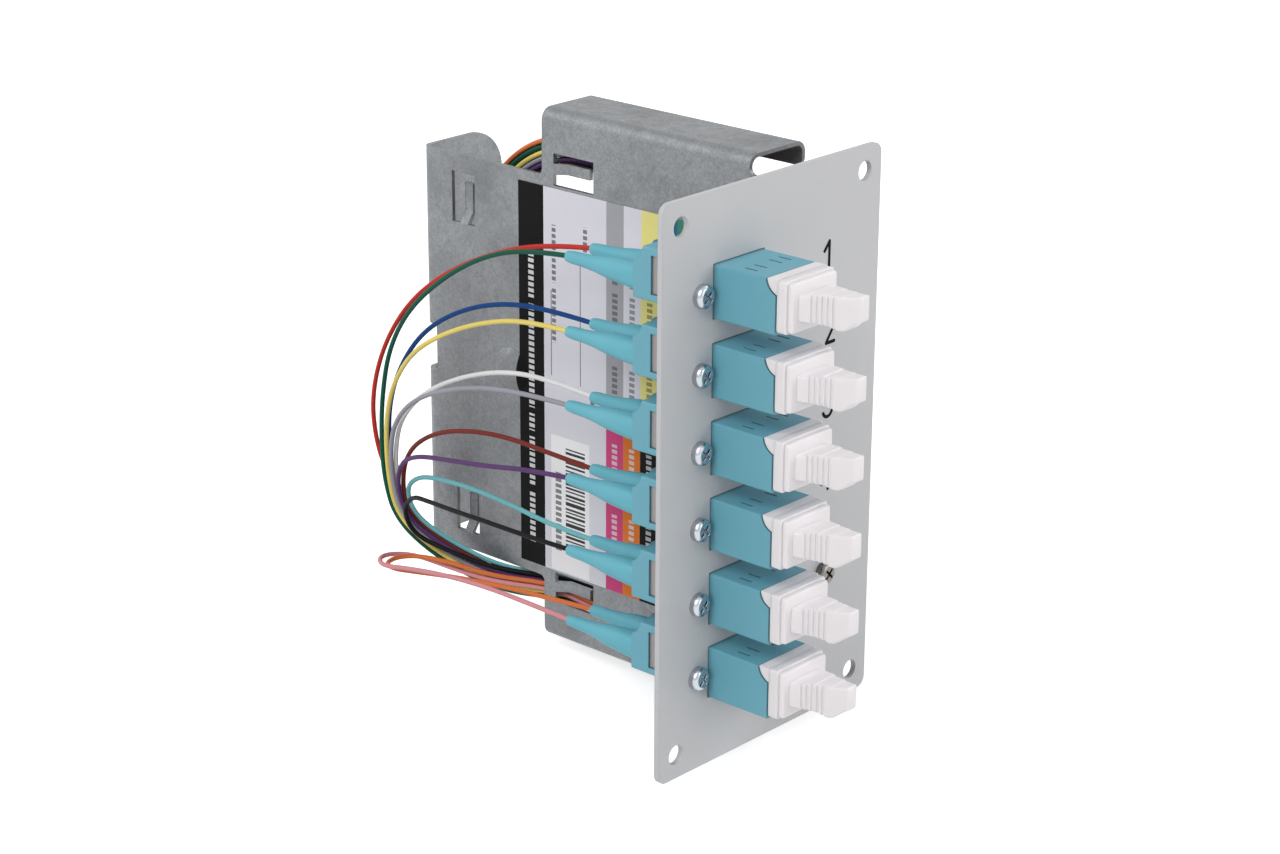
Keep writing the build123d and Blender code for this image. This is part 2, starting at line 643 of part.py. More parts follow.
def fibre_coil():
    """Outer shape of the spare turns of all twelve pigtails, on the far side of the wall."""
    outer = RectangleRounded(
        COIL_SPAN_Y + COIL_W, COIL_SPAN_Z + COIL_W, COIL_CORNER_R + COIL_W / 2
    )
    outer -= RectangleRounded(
        COIL_SPAN_Y - COIL_W, COIL_SPAN_Z - COIL_W, COIL_CORNER_R - COIL_W / 2
    )
    ring = Pos(TONGUE_TOP_X, COIL_Y, 0) * extrude(Plane.YZ * outer, amount=COIL_T)
    return fillet(ring.edges(), COIL_EDGE_R)


# Lane of each pigtail in the bundle below the wall: column, row
LANES = {
    1: (2, 4),
    2: (1, 4),
    3: (2, 3),
    4: (1, 3),
    5: (2, 2),
    6: (1, 2),
    7: (2, 1),
    8: (1, 1),
    9: (2, 0),
    10: (1, 0),
    11: (0, 1),
    12: (0, 2),
}
LANE_PITCH = 1.15
OUTER_LANE_DROP = 1.2
INNER_PIGTAIL = 10
# Free stretch of each pigtail between its boot and the bundle, as the photograph shows it
ROUTES = {
    1: [
        (-6.5, 46, 31), (-7, 58.5, 27), (-7, 70.5, 21), (-6.8, 81, 13), (-6.2, 89, 2.5),
        (-5.2, 93.7, -9), (-4.2, 94, -18.5),
    ],
    2: [
        (-12.5, 45.5, 31.5), (-12, 57, 27.5), (-11, 68, 21), (-9.5, 78.5, 12.5),
        (-7.5, 86.2, 2.5), (-6, 90, -8.5), (-5.2, 91.3, -17.5),
    ],
    3: [
        (-6.2, 45, 18.9), (-6.5, 56, 18), (-6.9, 67, 14.5), (-6.8, 77.5, 8),
        (-6, 85.3, -1.5), (-4.8, 89.5, -11), (-4, 90.3, -19),
    ],
    4: [
        (-12.5, 45, 18.5), (-12, 56.5, 15.5), (-10.8, 68, 10.5), (-9, 78.5, 4),
        (-7.2, 86, -5), (-5.8, 89.5, -14.5),
    ],
    5: [
        (-6.2, 45, 5.7), (-6.5, 56, 5), (-6.9, 67, 1.5), (-6.6, 77.5, -4),
        (-5.5, 85.5, -11.5), (-4.4, 88.4, -19.5),
    ],
    6: [
        (-12.5, 45, 4.7), (-12, 56, 3.2), (-11, 67, 0), (-9.2, 77.5, -4.8),
        (-7.2, 85.3, -11.5), (-5.7, 88.4, -19),
    ],
    7: [
        (-6.3, 45, -8.4), (-6.5, 55.5, -7.8), (-6.6, 66, -8.9), (-6.3, 76, -12), (-5.2, 84.2, -18),
    ],
    8: [
        (-12.5, 45, -9.7), (-12, 56, -12), (-10.8, 67, -14), (-9, 77.5, -16.2),
        (-6.8, 84.5, -20),
    ],
    9: [
        (-6.3, 45, -22.3), (-6.5, 55.5, -20.9), (-6.4, 66, -20.4), (-6, 75.3, -21),
        (-4.9, 82, -22.8),
    ],
    10: [
        (-12.5, 45, -22.7), (-12, 56, -23), (-10.8, 66.5, -23.8), (-9, 75.5, -24.7),
        (-7.3, 80.8, -25.8), (-5.8, 85.1, -29.8), (-4.3, 84.2, -35.2), (-1.8, 78, -37.6),
    ],
    11: [
        (-6.9, 45, -36.6), (-8.8, 55.5, -36.6), (-11.2, 65.5, -36.9), (-13.6, 73.6, -37.4),
        (-14.6, 79.2, -38), (-12.6, 82.9, -38.5), (-8.7, 84.3, -38.9), (-4.9, 82.6, -39.2),
        (-2.2, 76.4, -39.6),
    ],
    12: [
        (-12.6, 45, -35.8), (-12.9, 55.5, -35.5), (-13.8, 65.5, -35.7), (-15.1, 74.2, -36.4),
        (-15.8, 80.4, -37.4), (-13.2, 84.4, -37.7), (-8.6, 86, -38.6), (-4, 83.8, -39.6),
        (-1.4, 76.6, -41.2),
    ],
}


def bundle_points(number):
    """Last points of a pigtail, side by side with its neighbours, into the coil."""
    column, row = LANES[number]
    across = (column - 1) * LANE_PITCH
    points = []
    if column > 0 and number != INNER_PIGTAIL:
        points.append((across - 5.0, 86.2 + 1.2 * row, 0.3 * row - 26.6))
        points.append((across - 3.6, 85.4 + 1.05 * row, -0.4 * row - 32.2))
        points.append((across - 0.9, 79.6 + 0.65 * row, -0.9 * row - 36.4))
    points.append((across + 2.3, 68.0 + 0.2 * row, -1.1 * row - 40.1))
    points.append((across + 8.6, 57.0, -1.1 * row - 40.6))
    drop = OUTER_LANE_DROP if column == 0 else 0.0
    points.append((across + 8.9, 49.0, -1.05 * row - 40.6 - drop))
    return points


def pigtail(number, start):
    """Tube of one pigtail, straight runs joined by tangent arcs, from its boot to the coil."""
    points = [Vector(*point) for point in [start] + ROUTES[number] + bundle_points(number)]
    radii = []
    for before, corner, after in zip(points, points[1:], points[2:]):
        run = min((corner - before).length, (after - corner).length)
        turn = (corner - before).get_angle(after - corner)
        radii.append(CORNER_SHARE * run / tan(radians(turn) / 2))
    print("pigtail", number, "smallest arc radius", round(min(radii), 1))
    path = FilletPolyline(*points, radius=radii)
    section = Plane(origin=path @ 0, z_dir=path % 0) * Circle(FIBRE_D / 2)
    tube = sweep(section, path=path)
    print("   length", round(path.length, 1), "volume ratio", tube.volume / (section.area * path.length))
    return tube


def main():
    os.makedirs("parts", exist_ok=True)
    save(front_panel(), "front_panel")
    save(carrier_bracket(), "carrier_bracket")
    save(port_label(), "port_label")
    one_adapter = adapter()
    one_plug = dust_plug()
    for port in range(1, PORTS + 1):
        z = port_z(port)
        save(Pos(PORT_X, 0, z) * one_adapter, f"adapter_{port}")
        save(Pos(PORT_X, 0, z) * one_plug, f"dust_plug_{port}")
        pair = list(channels())[2 * port - 2 : 2 * port]
        save(Compound([lc_plug(*axis) for axis in pair]), f"lc_plugs_{port}")
        save(Compound([boot(*axis) for axis in pair]), f"boots_{port}")
    clips = [side_clip(side, port_z(port)) for port in range(1, PORTS + 1) for side in (-1, 1)]
    save(Compound(clips), "adapter_side_clips")
    save(Compound([alignment_sleeve(*axis) for axis in channels()]), "alignment_sleeves")
    save(Compound([ferrule(*axis) for axis in channels()]), "ferrules")
    save(Compound([duplex_clip(port_z(port)) for port in range(1, PORTS + 1)]), "duplex_clips")
    screws = [pan_screw(x, z, SCREW_L) for x, z in adapter_screw_places()]
    save(Compound(screws), "adapter_screws")
    save(Compound([nut(x, z) for x, z in adapter_screw_places()]), "adapter_nuts")
    screw_z = BRACKET_SCREW_SPAN_Z / 2
    screws = [pan_screw(BRACKET_SCREW_X, z, BRACKET_SCREW_L) for z in (-screw_z, screw_z)]
    save(Compound(screws), "bracket_screws")
    save(splice_comb(), "splice_comb")
    save(splice_protectors(), "splice_protectors")
    save(foam_pad(), "foam_pad")
    save(fibre_coil(), "fibre_coil")
    for number, (x, z) in enumerate(channels(), start=1):
        save(pigtail(number, (x, BOOT_TIP_Y, z)), f"pigtail_{number}")


main()
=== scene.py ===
"""Visual model of a fibre splice module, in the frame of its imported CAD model.

The CAD pieces keep their shapes and get procedural materials. Dust plugs, boots, LC plugs and duplex clips get
finer shapes here. The twelve pigtails become smooth cords that run on into the coil on the far side of the wall
and end at their splices, and the panel gets port numbers.
Lengths are in millimetres, and MM turns them into metres. Names that end in _M, the depths and edge radii of
surfaces and the lamps' table are in metres already.
"""

import json
import math

import bpy
import numpy as np
from mathutils import Matrix


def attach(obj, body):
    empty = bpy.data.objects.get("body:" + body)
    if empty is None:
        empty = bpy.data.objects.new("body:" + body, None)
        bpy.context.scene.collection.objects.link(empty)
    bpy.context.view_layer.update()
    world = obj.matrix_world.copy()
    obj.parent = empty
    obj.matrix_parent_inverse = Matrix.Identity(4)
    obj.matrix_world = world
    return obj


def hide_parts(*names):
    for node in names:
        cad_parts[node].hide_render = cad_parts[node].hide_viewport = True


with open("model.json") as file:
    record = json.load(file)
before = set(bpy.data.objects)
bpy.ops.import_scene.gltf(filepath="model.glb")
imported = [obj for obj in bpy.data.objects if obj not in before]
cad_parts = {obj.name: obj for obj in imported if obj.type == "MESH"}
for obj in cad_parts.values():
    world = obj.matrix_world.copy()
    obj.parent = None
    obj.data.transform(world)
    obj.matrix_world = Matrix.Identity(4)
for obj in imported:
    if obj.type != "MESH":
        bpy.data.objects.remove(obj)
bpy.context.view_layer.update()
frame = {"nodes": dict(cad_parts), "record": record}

MM = 0.001
BODY = "root"
PORTS = range(1, 7)
PORT_PITCH, PORT_X, LC_SPACING, LC_DROP = 13.7, -9.3, 6.25, 1.9
SLEEVE_X = 9.4


def port_z(port):
    """The height of a port's middle; the first port is the top one."""
    return (3.5 - port) * PORT_PITCH


# ---------------------------------------------------------------- node graph helpers

class Graph:
    """Adds nodes to one node tree and joins them in few words."""

    def __init__(self, tree):
        self.tree = tree

    def add(self, kind, inputs=None, **settings):
        node = self.tree.nodes.new(kind)
        for name, value in settings.items():
            setattr(node, name, value)
        for name, value in (inputs or {}).items():
            self.feed(node.inputs[name], value)
        return node

    def feed(self, socket, value):
        if isinstance(value, bpy.types.NodeSocket):
            self.tree.links.new(value, socket)
        elif value is not None:
            socket.default_value = value

    def maths(self, operation, a, b=None, clamp=False):
        node = self.add("ShaderNodeMath", operation=operation, use_clamp=clamp)
        self.feed(node.inputs[0], a)
        self.feed(node.inputs[1], b)
        return node.outputs[0]

    def blend(self, share, first, second, blend_type="MIX"):
        node = self.add("ShaderNodeMix", data_type="RGBA", blend_type=blend_type)
        self.feed(node.inputs[0], share)
        self.feed(node.inputs[6], first)
        self.feed(node.inputs[7], second)
        return node.outputs[2]

    def between(self, value, from_low, from_high, to_low, to_high):
        node = self.add("ShaderNodeMapRange", {"Value": value, "From Min": from_low, "From Max": from_high,
                                               "To Min": to_low, "To Max": to_high})
        return node.outputs[0]

    def noise(self, vector, scale, detail=3.0, roughness=0.55):
        node = self.add("ShaderNodeTexNoise", {"Vector": vector, "Scale": scale, "Detail": detail,
                                               "Roughness": roughness})
        return node.outputs["Fac"]

    def here(self):
        return self.add("ShaderNodeTexCoord").outputs["Object"]

    def group(self, name, inputs):
        node = self.add("ShaderNodeGroup", node_tree=bpy.data.node_groups[name])
        for key, value in inputs.items():
            self.feed(node.inputs[key], value)
        return node.outputs


SOCKETS = {"F": "NodeSocketFloat", "C": "NodeSocketColor", "V": "NodeSocketVector"}


def new_group(name, inputs, outputs):
    """A shader node group with its named sockets; returns its graph, input sockets and output sockets."""
    tree = bpy.data.node_groups.new(name, "ShaderNodeTree")
    for key, (kind, default) in inputs.items():
        socket = tree.interface.new_socket(key, in_out="INPUT", socket_type=SOCKETS[kind])
        socket.default_value = default
    for key, kind in outputs.items():
        tree.interface.new_socket(key, in_out="OUTPUT", socket_type=SOCKETS[kind])
    graph = Graph(tree)
    return graph, graph.add("NodeGroupInput").outputs, graph.add("NodeGroupOutput").inputs


GREY = (0.5, 0.5, 0.5, 1.0)


def make_groups():
    """The effects that several materials share."""
    g, inside, out = new_group(
        "Tone Drift",
        {"Colour": ("C", GREY), "Amount": ("F", 0.1), "Scale": ("F", 60.0)},
        {"Colour": "C"})
    here = g.here()
    broad = g.noise(here, inside["Scale"], 2.0)
    fine = g.noise(here, g.maths("MULTIPLY", inside["Scale"], 9.0), 4.0, 0.65)
    both = g.maths("ADD", g.maths("MULTIPLY", broad, 0.65), g.maths("MULTIPLY", fine, 0.35))
    swing = g.maths("MULTIPLY", g.maths("SUBTRACT", both, 0.5), g.maths("MULTIPLY", inside["Amount"], 2.0))
    level = g.maths("ADD", 1.0, swing)
    tint = g.add("ShaderNodeCombineColor", {"Red": level, "Green": level, "Blue": level}).outputs[0]
    g.feed(out["Colour"], g.blend(1.0, inside["Colour"], tint, "MULTIPLY"))

    g, inside, out = new_group(
        "Fine Grain",
        {"Scale": ("F", 3000.0), "Dimple": ("F", 0.5)},
        {"Height": "F", "Mask": "F"})
    here = g.here()
    grain = g.noise(here, inside["Scale"], 3.0, 0.6)
    cells = g.add("ShaderNodeTexVoronoi", {"Vector": here, "Scale": g.maths("MULTIPLY", inside["Scale"], 0.6)},
                  feature="SMOOTH_F1").outputs["Distance"]
    g.feed(out["Height"], g.maths("ADD", grain, g.maths("MULTIPLY", cells, inside["Dimple"])))
    g.feed(out["Mask"], g.between(grain, 0.35, 0.65, 0.0, 1.0))

    g, inside, out = new_group(
        "Handling Marks",
        {"Scale": ("F", 70.0), "Amount": ("F", 0.3), "Direction": ("V", (1.0, 9.0, 1.0))},
        {"Mask": "F", "Scratch": "F"})
    here = g.here()
    cloud = g.between(g.noise(here, inside["Scale"], 4.0, 0.6), 0.46, 0.72, 0.0, 1.0)
    along = g.add("ShaderNodeVectorMath", operation="MULTIPLY")
    g.feed(along.inputs[0], here)
    g.feed(along.inputs[1], inside["Direction"])
    streak = g.noise(along.outputs[0], g.maths("MULTIPLY", inside["Scale"], 6.0), 6.0, 0.7)
    thin = g.between(streak, 0.66, 0.72, 0.0, 1.0)
    g.feed(out["Mask"], g.maths("MULTIPLY", cloud, inside["Amount"]))
    g.feed(out["Scratch"], g.maths("MULTIPLY", thin, inside["Amount"]))

    g, inside, out = new_group(
        "Zinc Spangle",
        {"Light": ("C", GREY), "Dark": ("C", GREY), "Scale": ("F", 330.0)},
        {"Colour": "C", "Roughness": "F", "Height": "F"})
    here = g.here()
    bent = g.add("ShaderNodeVectorMath", operation="ADD")
    wobble = g.add("ShaderNodeTexNoise", {"Vector": here, "Scale": 420.0, "Detail": 2.0}).outputs["Color"]
    soft = g.add("ShaderNodeVectorMath", operation="SCALE")
    g.feed(soft.inputs[0], wobble)
    soft.inputs["Scale"].default_value = 0.0022
    g.feed(bent.inputs[0], here)
    g.feed(bent.inputs[1], soft.outputs[0])
    part, tiny = [
        g.add("ShaderNodeSeparateColor", {"Color": g.add(
            "ShaderNodeTexVoronoi", {"Vector": bent.outputs[0], "Scale": scale}).outputs["Color"]}).outputs
        for scale in (inside["Scale"], g.maths("MULTIPLY", inside["Scale"], 2.7))]
    cloud = g.noise(here, 70.0, 4.0, 0.6)
    salt = g.between(g.noise(here, g.maths("MULTIPLY", inside["Scale"], 4.2), 2.0, 0.7), 0.36, 0.64, 0.0, 1.0)
    tone = g.maths("ADD", g.maths("MULTIPLY", part[0], 0.13), g.maths("MULTIPLY", tiny[0], 0.15))
    tone = g.maths("ADD", tone, g.maths("MULTIPLY", salt, 0.35))
    tone = g.maths("ADD", tone, g.maths("MULTIPLY", cloud, 0.4), clamp=True)
    g.feed(out["Colour"], g.blend(tone, inside["Dark"], inside["Light"]))
    g.feed(out["Roughness"], g.between(g.maths("ADD", part[1], cloud), 0.2, 1.6, 0.34, 0.52))
    g.feed(out["Height"], g.maths("ADD", g.maths("MULTIPLY", part[2], 0.6), g.maths("MULTIPLY", tiny[1], 0.4)))

    g, inside, out = new_group(
        "Print Field",
        {"Under": ("C", GREY), "Ink": ("C", GREY), "Y": ("F", 0.0), "Z": ("F", 0.0), "Y Low": ("F", 0.0),
         "Y High": ("F", 1.0), "Z Low": ("F", 0.0), "Z High": ("F", 1.0), "Strength": ("F", 1.0)},
        {"Colour": "C"})
    mask = g.maths("MULTIPLY",
                   g.maths("MULTIPLY", g.maths("GREATER_THAN", inside["Y"], inside["Y Low"]),
                           g.maths("LESS_THAN", inside["Y"], inside["Y High"])),
                   g.maths("MULTIPLY", g.maths("GREATER_THAN", inside["Z"], inside["Z Low"]),
                           g.maths("LESS_THAN", inside["Z"], inside["Z High"])))
    share = g.maths("MULTIPLY", mask, inside["Strength"])
    g.feed(out["Colour"], g.blend(share, inside["Under"], inside["Ink"]))


make_groups()


# ---------------------------------------------------------------- materials

def linear(red, green, blue):
    """Colour numbers from 0 to 255, as a picture shows them, in the values that a shader takes."""
    def one(value):
        share = value / 255
        return share / 12.92 if share <= 0.04045 else ((share + 0.055) / 1.055) ** 2.4
    return (one(red), one(green), one(blue), 1.0)


def start_material(name):
    material = bpy.data.materials.new(name)
    material.use_nodes = True
    g = Graph(material.node_tree)
    return material, g, material.node_tree.nodes["Principled BSDF"]


def finish_surface(g, shader, colour, roughness, height, depth, edge=0.0):
    """Feeds colour, roughness and a bump of that depth in metres; edge is the radius, also in metres, that sharp
    edges are shaded with."""
    g.feed(shader.inputs["Base Color"], colour)
    g.feed(shader.inputs["Roughness"], roughness)
    bump = g.add("ShaderNodeBump", {"Height": height, "Strength": 1.0, "Distance": depth})
    if edge:
        rounded = g.add("ShaderNodeBevel", {"Radius": edge}, samples=6)
        g.feed(bump.inputs["Normal"], rounded.outputs[0])
    g.feed(shader.inputs["Normal"], bump.outputs[0])


# how far the occlusion test reaches when it paints shade into narrow joints and slots
CREVICE_SHADE_REACH_M = 0.0012


def moulded(name, colour, roughness=0.42, drift=0.06, depth=0.000012, edge=0.00015, grain=2600.0, soft=0.0,
             crevice_shade=0.0):
    """Moulded plastic or rubber: slight tone drift, fine texture, a few rubbed places. Crevice shade is how far
    painted shade darkens its narrow joints and slots, where an occlusion test finds other surfaces close by, and
    soft is how much light passes under its surface."""
    material, g, shader = start_material(name)
    tone = g.group("Tone Drift", {"Colour": colour, "Amount": drift, "Scale": 90.0})["Colour"]
    marks = g.group("Handling Marks", {"Scale": 160.0, "Amount": 0.35})
    fine = g.group("Fine Grain", {"Scale": grain, "Dimple": 0.35})
    pale = g.blend(g.maths("MULTIPLY", marks["Scratch"], 0.35), tone, (0.8, 0.8, 0.8, 1.0))
    if crevice_shade:
        # painted shade: joints, slots and recesses are darkened towards a dark teal where other surfaces are
        # close
        painted_crevice_shade = g.add("ShaderNodeAmbientOcclusion", {"Distance": CREVICE_SHADE_REACH_M}, samples=5).outputs["AO"]
        pale = g.blend(g.between(painted_crevice_shade, 0.25, 0.9, crevice_shade, 0.0), pale, linear(20, 34, 38))
    rough = g.maths("ADD", roughness, g.maths("ADD", g.maths("MULTIPLY", marks["Mask"], 0.2),
                                              g.maths("MULTIPLY", fine["Mask"], 0.05)))
    finish_surface(g, shader, pale, rough, fine["Height"], depth, edge)
    if soft:
        shader.inputs["Subsurface Weight"].default_value = soft
        shader.inputs["Subsurface Radius"].default_value = (0.0011, 0.0010, 0.0009)
        shader.inputs["Subsurface Scale"].default_value = 1.0
    return material


def powder_coat(name, colour):
    """Satin powder coat: orange-peel texture, faint clouding, small rubbed marks."""
    material, g, shader = start_material(name)
    tone = g.group("Tone Drift", {"Colour": colour, "Amount": 0.035, "Scale": 45.0})["Colour"]
    marks = g.group("Handling Marks", {"Scale": 55.0, "Amount": 0.3, "Direction": (1.0, 1.0, 7.0)})
    fine = g.group("Fine Grain", {"Scale": 1900.0, "Dimple": 0.8})
    speck = g.between(g.noise(g.here(), 5200.0, 2.0), 0.66, 0.74, 0.0, 0.12)
    dark = g.blend(speck, tone, (0.3, 0.3, 0.31, 1.0))
    rough = g.maths("ADD", 0.40, g.maths("ADD", g.maths("MULTIPLY", marks["Mask"], 0.25),
                                         g.maths("MULTIPLY", fine["Mask"], 0.06)))
    finish_surface(g, shader, dark, rough, fine["Height"], 0.00003, 0.0002)
    return material


def zinc_sheet(name):
    """Galvanised sheet: fine spangle in patches of light and dark zinc, streaks, dull dark smears that are partly
    handling smears and partly a painted reflection of the darker things round it, softened edges.
    """
    material, g, shader = start_material(name)
    spangle = g.group("Zinc Spangle", {"Light": linear(152, 155, 158), "Dark": linear(104, 107, 110),
                                       "Scale": 620.0})
    marks = g.group("Handling Marks", {"Scale": 60.0, "Amount": 0.6, "Direction": (1.0, 1.0, 8.0)})
    # dark clouds: partly handling smears, partly a painted reflection of the darker things round the sheet, such
    # as the cords
    smear_and_painted_reflection = g.blend(g.maths("MULTIPLY", marks["Mask"], 0.7), spangle["Colour"], linear(98, 100, 101))
    bright = g.blend(g.maths("MULTIPLY", marks["Scratch"], 0.5), smear_and_painted_reflection, linear(196, 198, 200))
    rough = g.maths("ADD", spangle["Roughness"], g.maths("MULTIPLY", marks["Mask"], 0.12))
    height = g.maths("ADD", spangle["Height"], g.maths("MULTIPLY", marks["Scratch"], -0.5))
    finish_surface(g, shader, bright, rough, height, 0.00002, 0.00018)
    shader.inputs["Metallic"].default_value = 0.72
    return material


def bright_metal(name, colour, roughness, metallic=1.0):
    """Plated or polished metal: turned rings of grain, small dull spots."""
    material, g, shader = start_material(name)
    tone = g.group("Tone Drift", {"Colour": colour, "Amount": 0.16, "Scale": 420.0})["Colour"]
    marks = g.group("Handling Marks", {"Scale": 420.0, "Amount": 0.5, "Direction": (1.0, 1.0, 5.0)})
    fine = g.group("Fine Grain", {"Scale": 5200.0, "Dimple": 0.2})
    rough = g.maths("ADD", roughness, g.maths("MULTIPLY", marks["Mask"], 0.3))
    finish_surface(g, shader, tone, rough, fine["Height"], 0.000008, 0.00012)
    shader.inputs["Metallic"].default_value = metallic
    return material


def fibre(name, colour):
    """Tight buffer of a pigtail: satin, tone drifting along it, dust on it."""
    material, g, shader = start_material(name)
    tone = g.group("Tone Drift", {"Colour": colour, "Amount": 0.12, "Scale": 120.0})["Colour"]
    fine = g.group("Fine Grain", {"Scale": 4200.0, "Dimple": 0.4})
    rough = g.maths("ADD", 0.46, g.maths("MULTIPLY", fine["Mask"], 0.14))
    finish_surface(g, shader, tone, rough, fine["Height"], 0.00001)
    shader.inputs["Specular IOR Level"].default_value = 0.14
    return material


def foam(name):
    """Closed-cell foam: dark, with small open cells in its cut faces, whose pits are darkened with painted shade.
    """
    material, g, shader = start_material(name)
    tone = g.group("Tone Drift", {"Colour": linear(70, 70, 74), "Amount": 0.2, "Scale": 200.0})["Colour"]
    cells = g.add("ShaderNodeTexVoronoi", {"Vector": g.here(), "Scale": 2600.0}).outputs["Distance"]
    # painted shade: the pit of each open cell is darkened towards near black
    cell_pit_shade = g.blend(g.between(cells, 0.0, 0.35, 0.55, 0.0), tone, linear(28, 28, 30))
    finish_surface(g, shader, cell_pit_shade, g.between(cells, 0.0, 0.5, 0.95, 0.8), cells, 0.00018)
    return material


def shrink_sleeve(name):
    """Clear shrink sleeve over a splice: cloudy plastic, with its steel rod showing through as a grey band."""
    material, g, shader = start_material(name)
    place = g.add("ShaderNodeSeparateXYZ", {"Vector": g.here()}).outputs
    core = g.maths("ABSOLUTE", g.maths("SUBTRACT", place[0], SLEEVE_X * MM))
    rod = g.between(core, 0.2 * MM, 0.75 * MM, 0.55, 0.0)
    tone = g.group("Tone Drift", {"Colour": linear(206, 208, 210), "Amount": 0.1, "Scale": 300.0})["Colour"]
    shown = g.blend(rod, tone, linear(120, 122, 126))
    fine = g.group("Fine Grain", {"Scale": 1500.0, "Dimple": 0.5})
    rough = g.between(fine["Mask"], 0.0, 1.0, 0.16, 0.3)
    finish_surface(g, shader, shown, rough, fine["Height"], 0.00003)
    shader.inputs["Coat Weight"].default_value = 0.5
    shader.inputs["Transmission Weight"].default_value = 0.15
    return material


WHITE_FILM, STICKER_FILM = linear(218, 217, 226), linear(240, 240, 242)
BLACK_INK, DARK_INK, LINE_INK = linear(7, 7, 8), linear(46, 46, 52), linear(120, 120, 128)
PALE_INK = linear(225, 225, 228)
LABEL_TOP, LABEL_LOW = 37.4, -37.4
# the colour columns from the rear to the front, above the split and below it
COLUMN_START, COLUMN_WIDTH, COLUMN_SPLIT = 41.7, 4.2, -5.0
# the blue and green columns are print, darkened further with painted shade for the shade that falls on that part
# of the label
UPPER_INKS = [linear(164, 164, 170), WHITE_FILM, linear(232, 222, 140), linear(50, 104, 140),
              linear(66, 132, 112), linear(190, 70, 60)]
LOWER_INKS = [linear(206, 76, 128), linear(226, 124, 56), BLACK_INK, linear(90, 190, 200), linear(120, 80, 160),
              linear(120, 70, 45)]
# fields as (y low, y high, z low, z high)
BLACK_STRIP = (57.25, 70.0, LABEL_LOW, LABEL_TOP)
RULED_LINES = [(48.0, 48.22, 1.0, 24.0), (55.3, 55.52, 1.5, 18.0)]
STICKER = (45.9, 55.6, -37.0, -10.0)
# the sticker's bars: their ends in y, where the first one starts in z, their widths and gaps in turn
BAR_ENDS, FIRST_BAR_Z, BAR_COUNT = (47.0, 51.9), -12.0, 26
BAR_WIDTHS, BAR_GAPS = (0.28, 0.52, 0.3, 0.75, 0.4), (0.36, 0.5, 0.3)
# rows of dashes: on the strip (z low, z high), and in the field and on the sticker (y, width, z low, z high)
STRIP_ROW = (59.8, 61.2)
STRIP_ROW_ENDS = [(15.5, 24.5), (-6.0, 14.3), (-10.6, -7.2), (-21.4, -11.8), (-33.0, -22.6)]
FIELD_ROWS = [(54.2, 1.0, 19.5, 30.5), (54.2, 1.0, 8.0, 18.5), (46.4, 1.0, 24.0, 31.5), (44.6, 1.0, -4.6, 0.4),
              (53.0, 1.5, -33.0, -17.0)]
DASH_PITCH, DASH_GAP_SHARE = 1.15, 0.36
# rows on the columns: how many columns show, half width, length, top, pitch, and the step down to the lower half
SHOWN_COLUMNS, ROWS_PER_COLUMN = 3, 4
ROW_HALF, ROW_LENGTH, ROW_TOP, ROW_PITCH, LOWER_HALF_DROP = 0.65, 5.5, 27.5, 6.9, 35.7


def rows_of_bars():
    """Rows of short plain dashes where the film is printed. Entries are as in label_fields."""
    bars = [(*STRIP_ROW, low, high, PALE_INK, 0.85) for low, high in STRIP_ROW_ENDS]
    bars += [(y, y + width, low, high, DARK_INK, 0.75) for y, width, low, high in FIELD_ROWS]
    for column in range(SHOWN_COLUMNS):
        middle = COLUMN_START - (column + 0.5) * COLUMN_WIDTH
        for i in range(ROWS_PER_COLUMN):
            for high, ink, strength in ((ROW_TOP - ROW_PITCH * i, DARK_INK, 0.6),
                                        (ROW_TOP - ROW_PITCH * i - LOWER_HALF_DROP, PALE_INK, 0.65)):
                bars.append((middle - ROW_HALF, middle + ROW_HALF, high - ROW_LENGTH, high, ink, strength))
    return bars


def label_fields():
    """The printed fields, each laid over the ones before it: (y low, y high, z low, z high, ink, strength)."""
    fields = [(*BLACK_STRIP, BLACK_INK, 1.0)]
    for i, (upper, lower) in enumerate(zip(UPPER_INKS, LOWER_INKS)):
        high = COLUMN_START - i * COLUMN_WIDTH
        fields.append((high - COLUMN_WIDTH, high, COLUMN_SPLIT, LABEL_TOP, upper, 1.0))
        fields.append((high - COLUMN_WIDTH, high, LABEL_LOW, COLUMN_SPLIT, lower, 1.0))
    fields += [(*line, LINE_INK, 1.0) for line in RULED_LINES]
    fields.append((*STICKER, STICKER_FILM, 1.0))
    z = FIRST_BAR_Z
    for i in range(BAR_COUNT):
        thick = BAR_WIDTHS[i % len(BAR_WIDTHS)]
        fields.append((*BAR_ENDS, z - thick, z, BLACK_INK, 0.95))
        z -= thick + BAR_GAPS[i % len(BAR_GAPS)]
    return fields


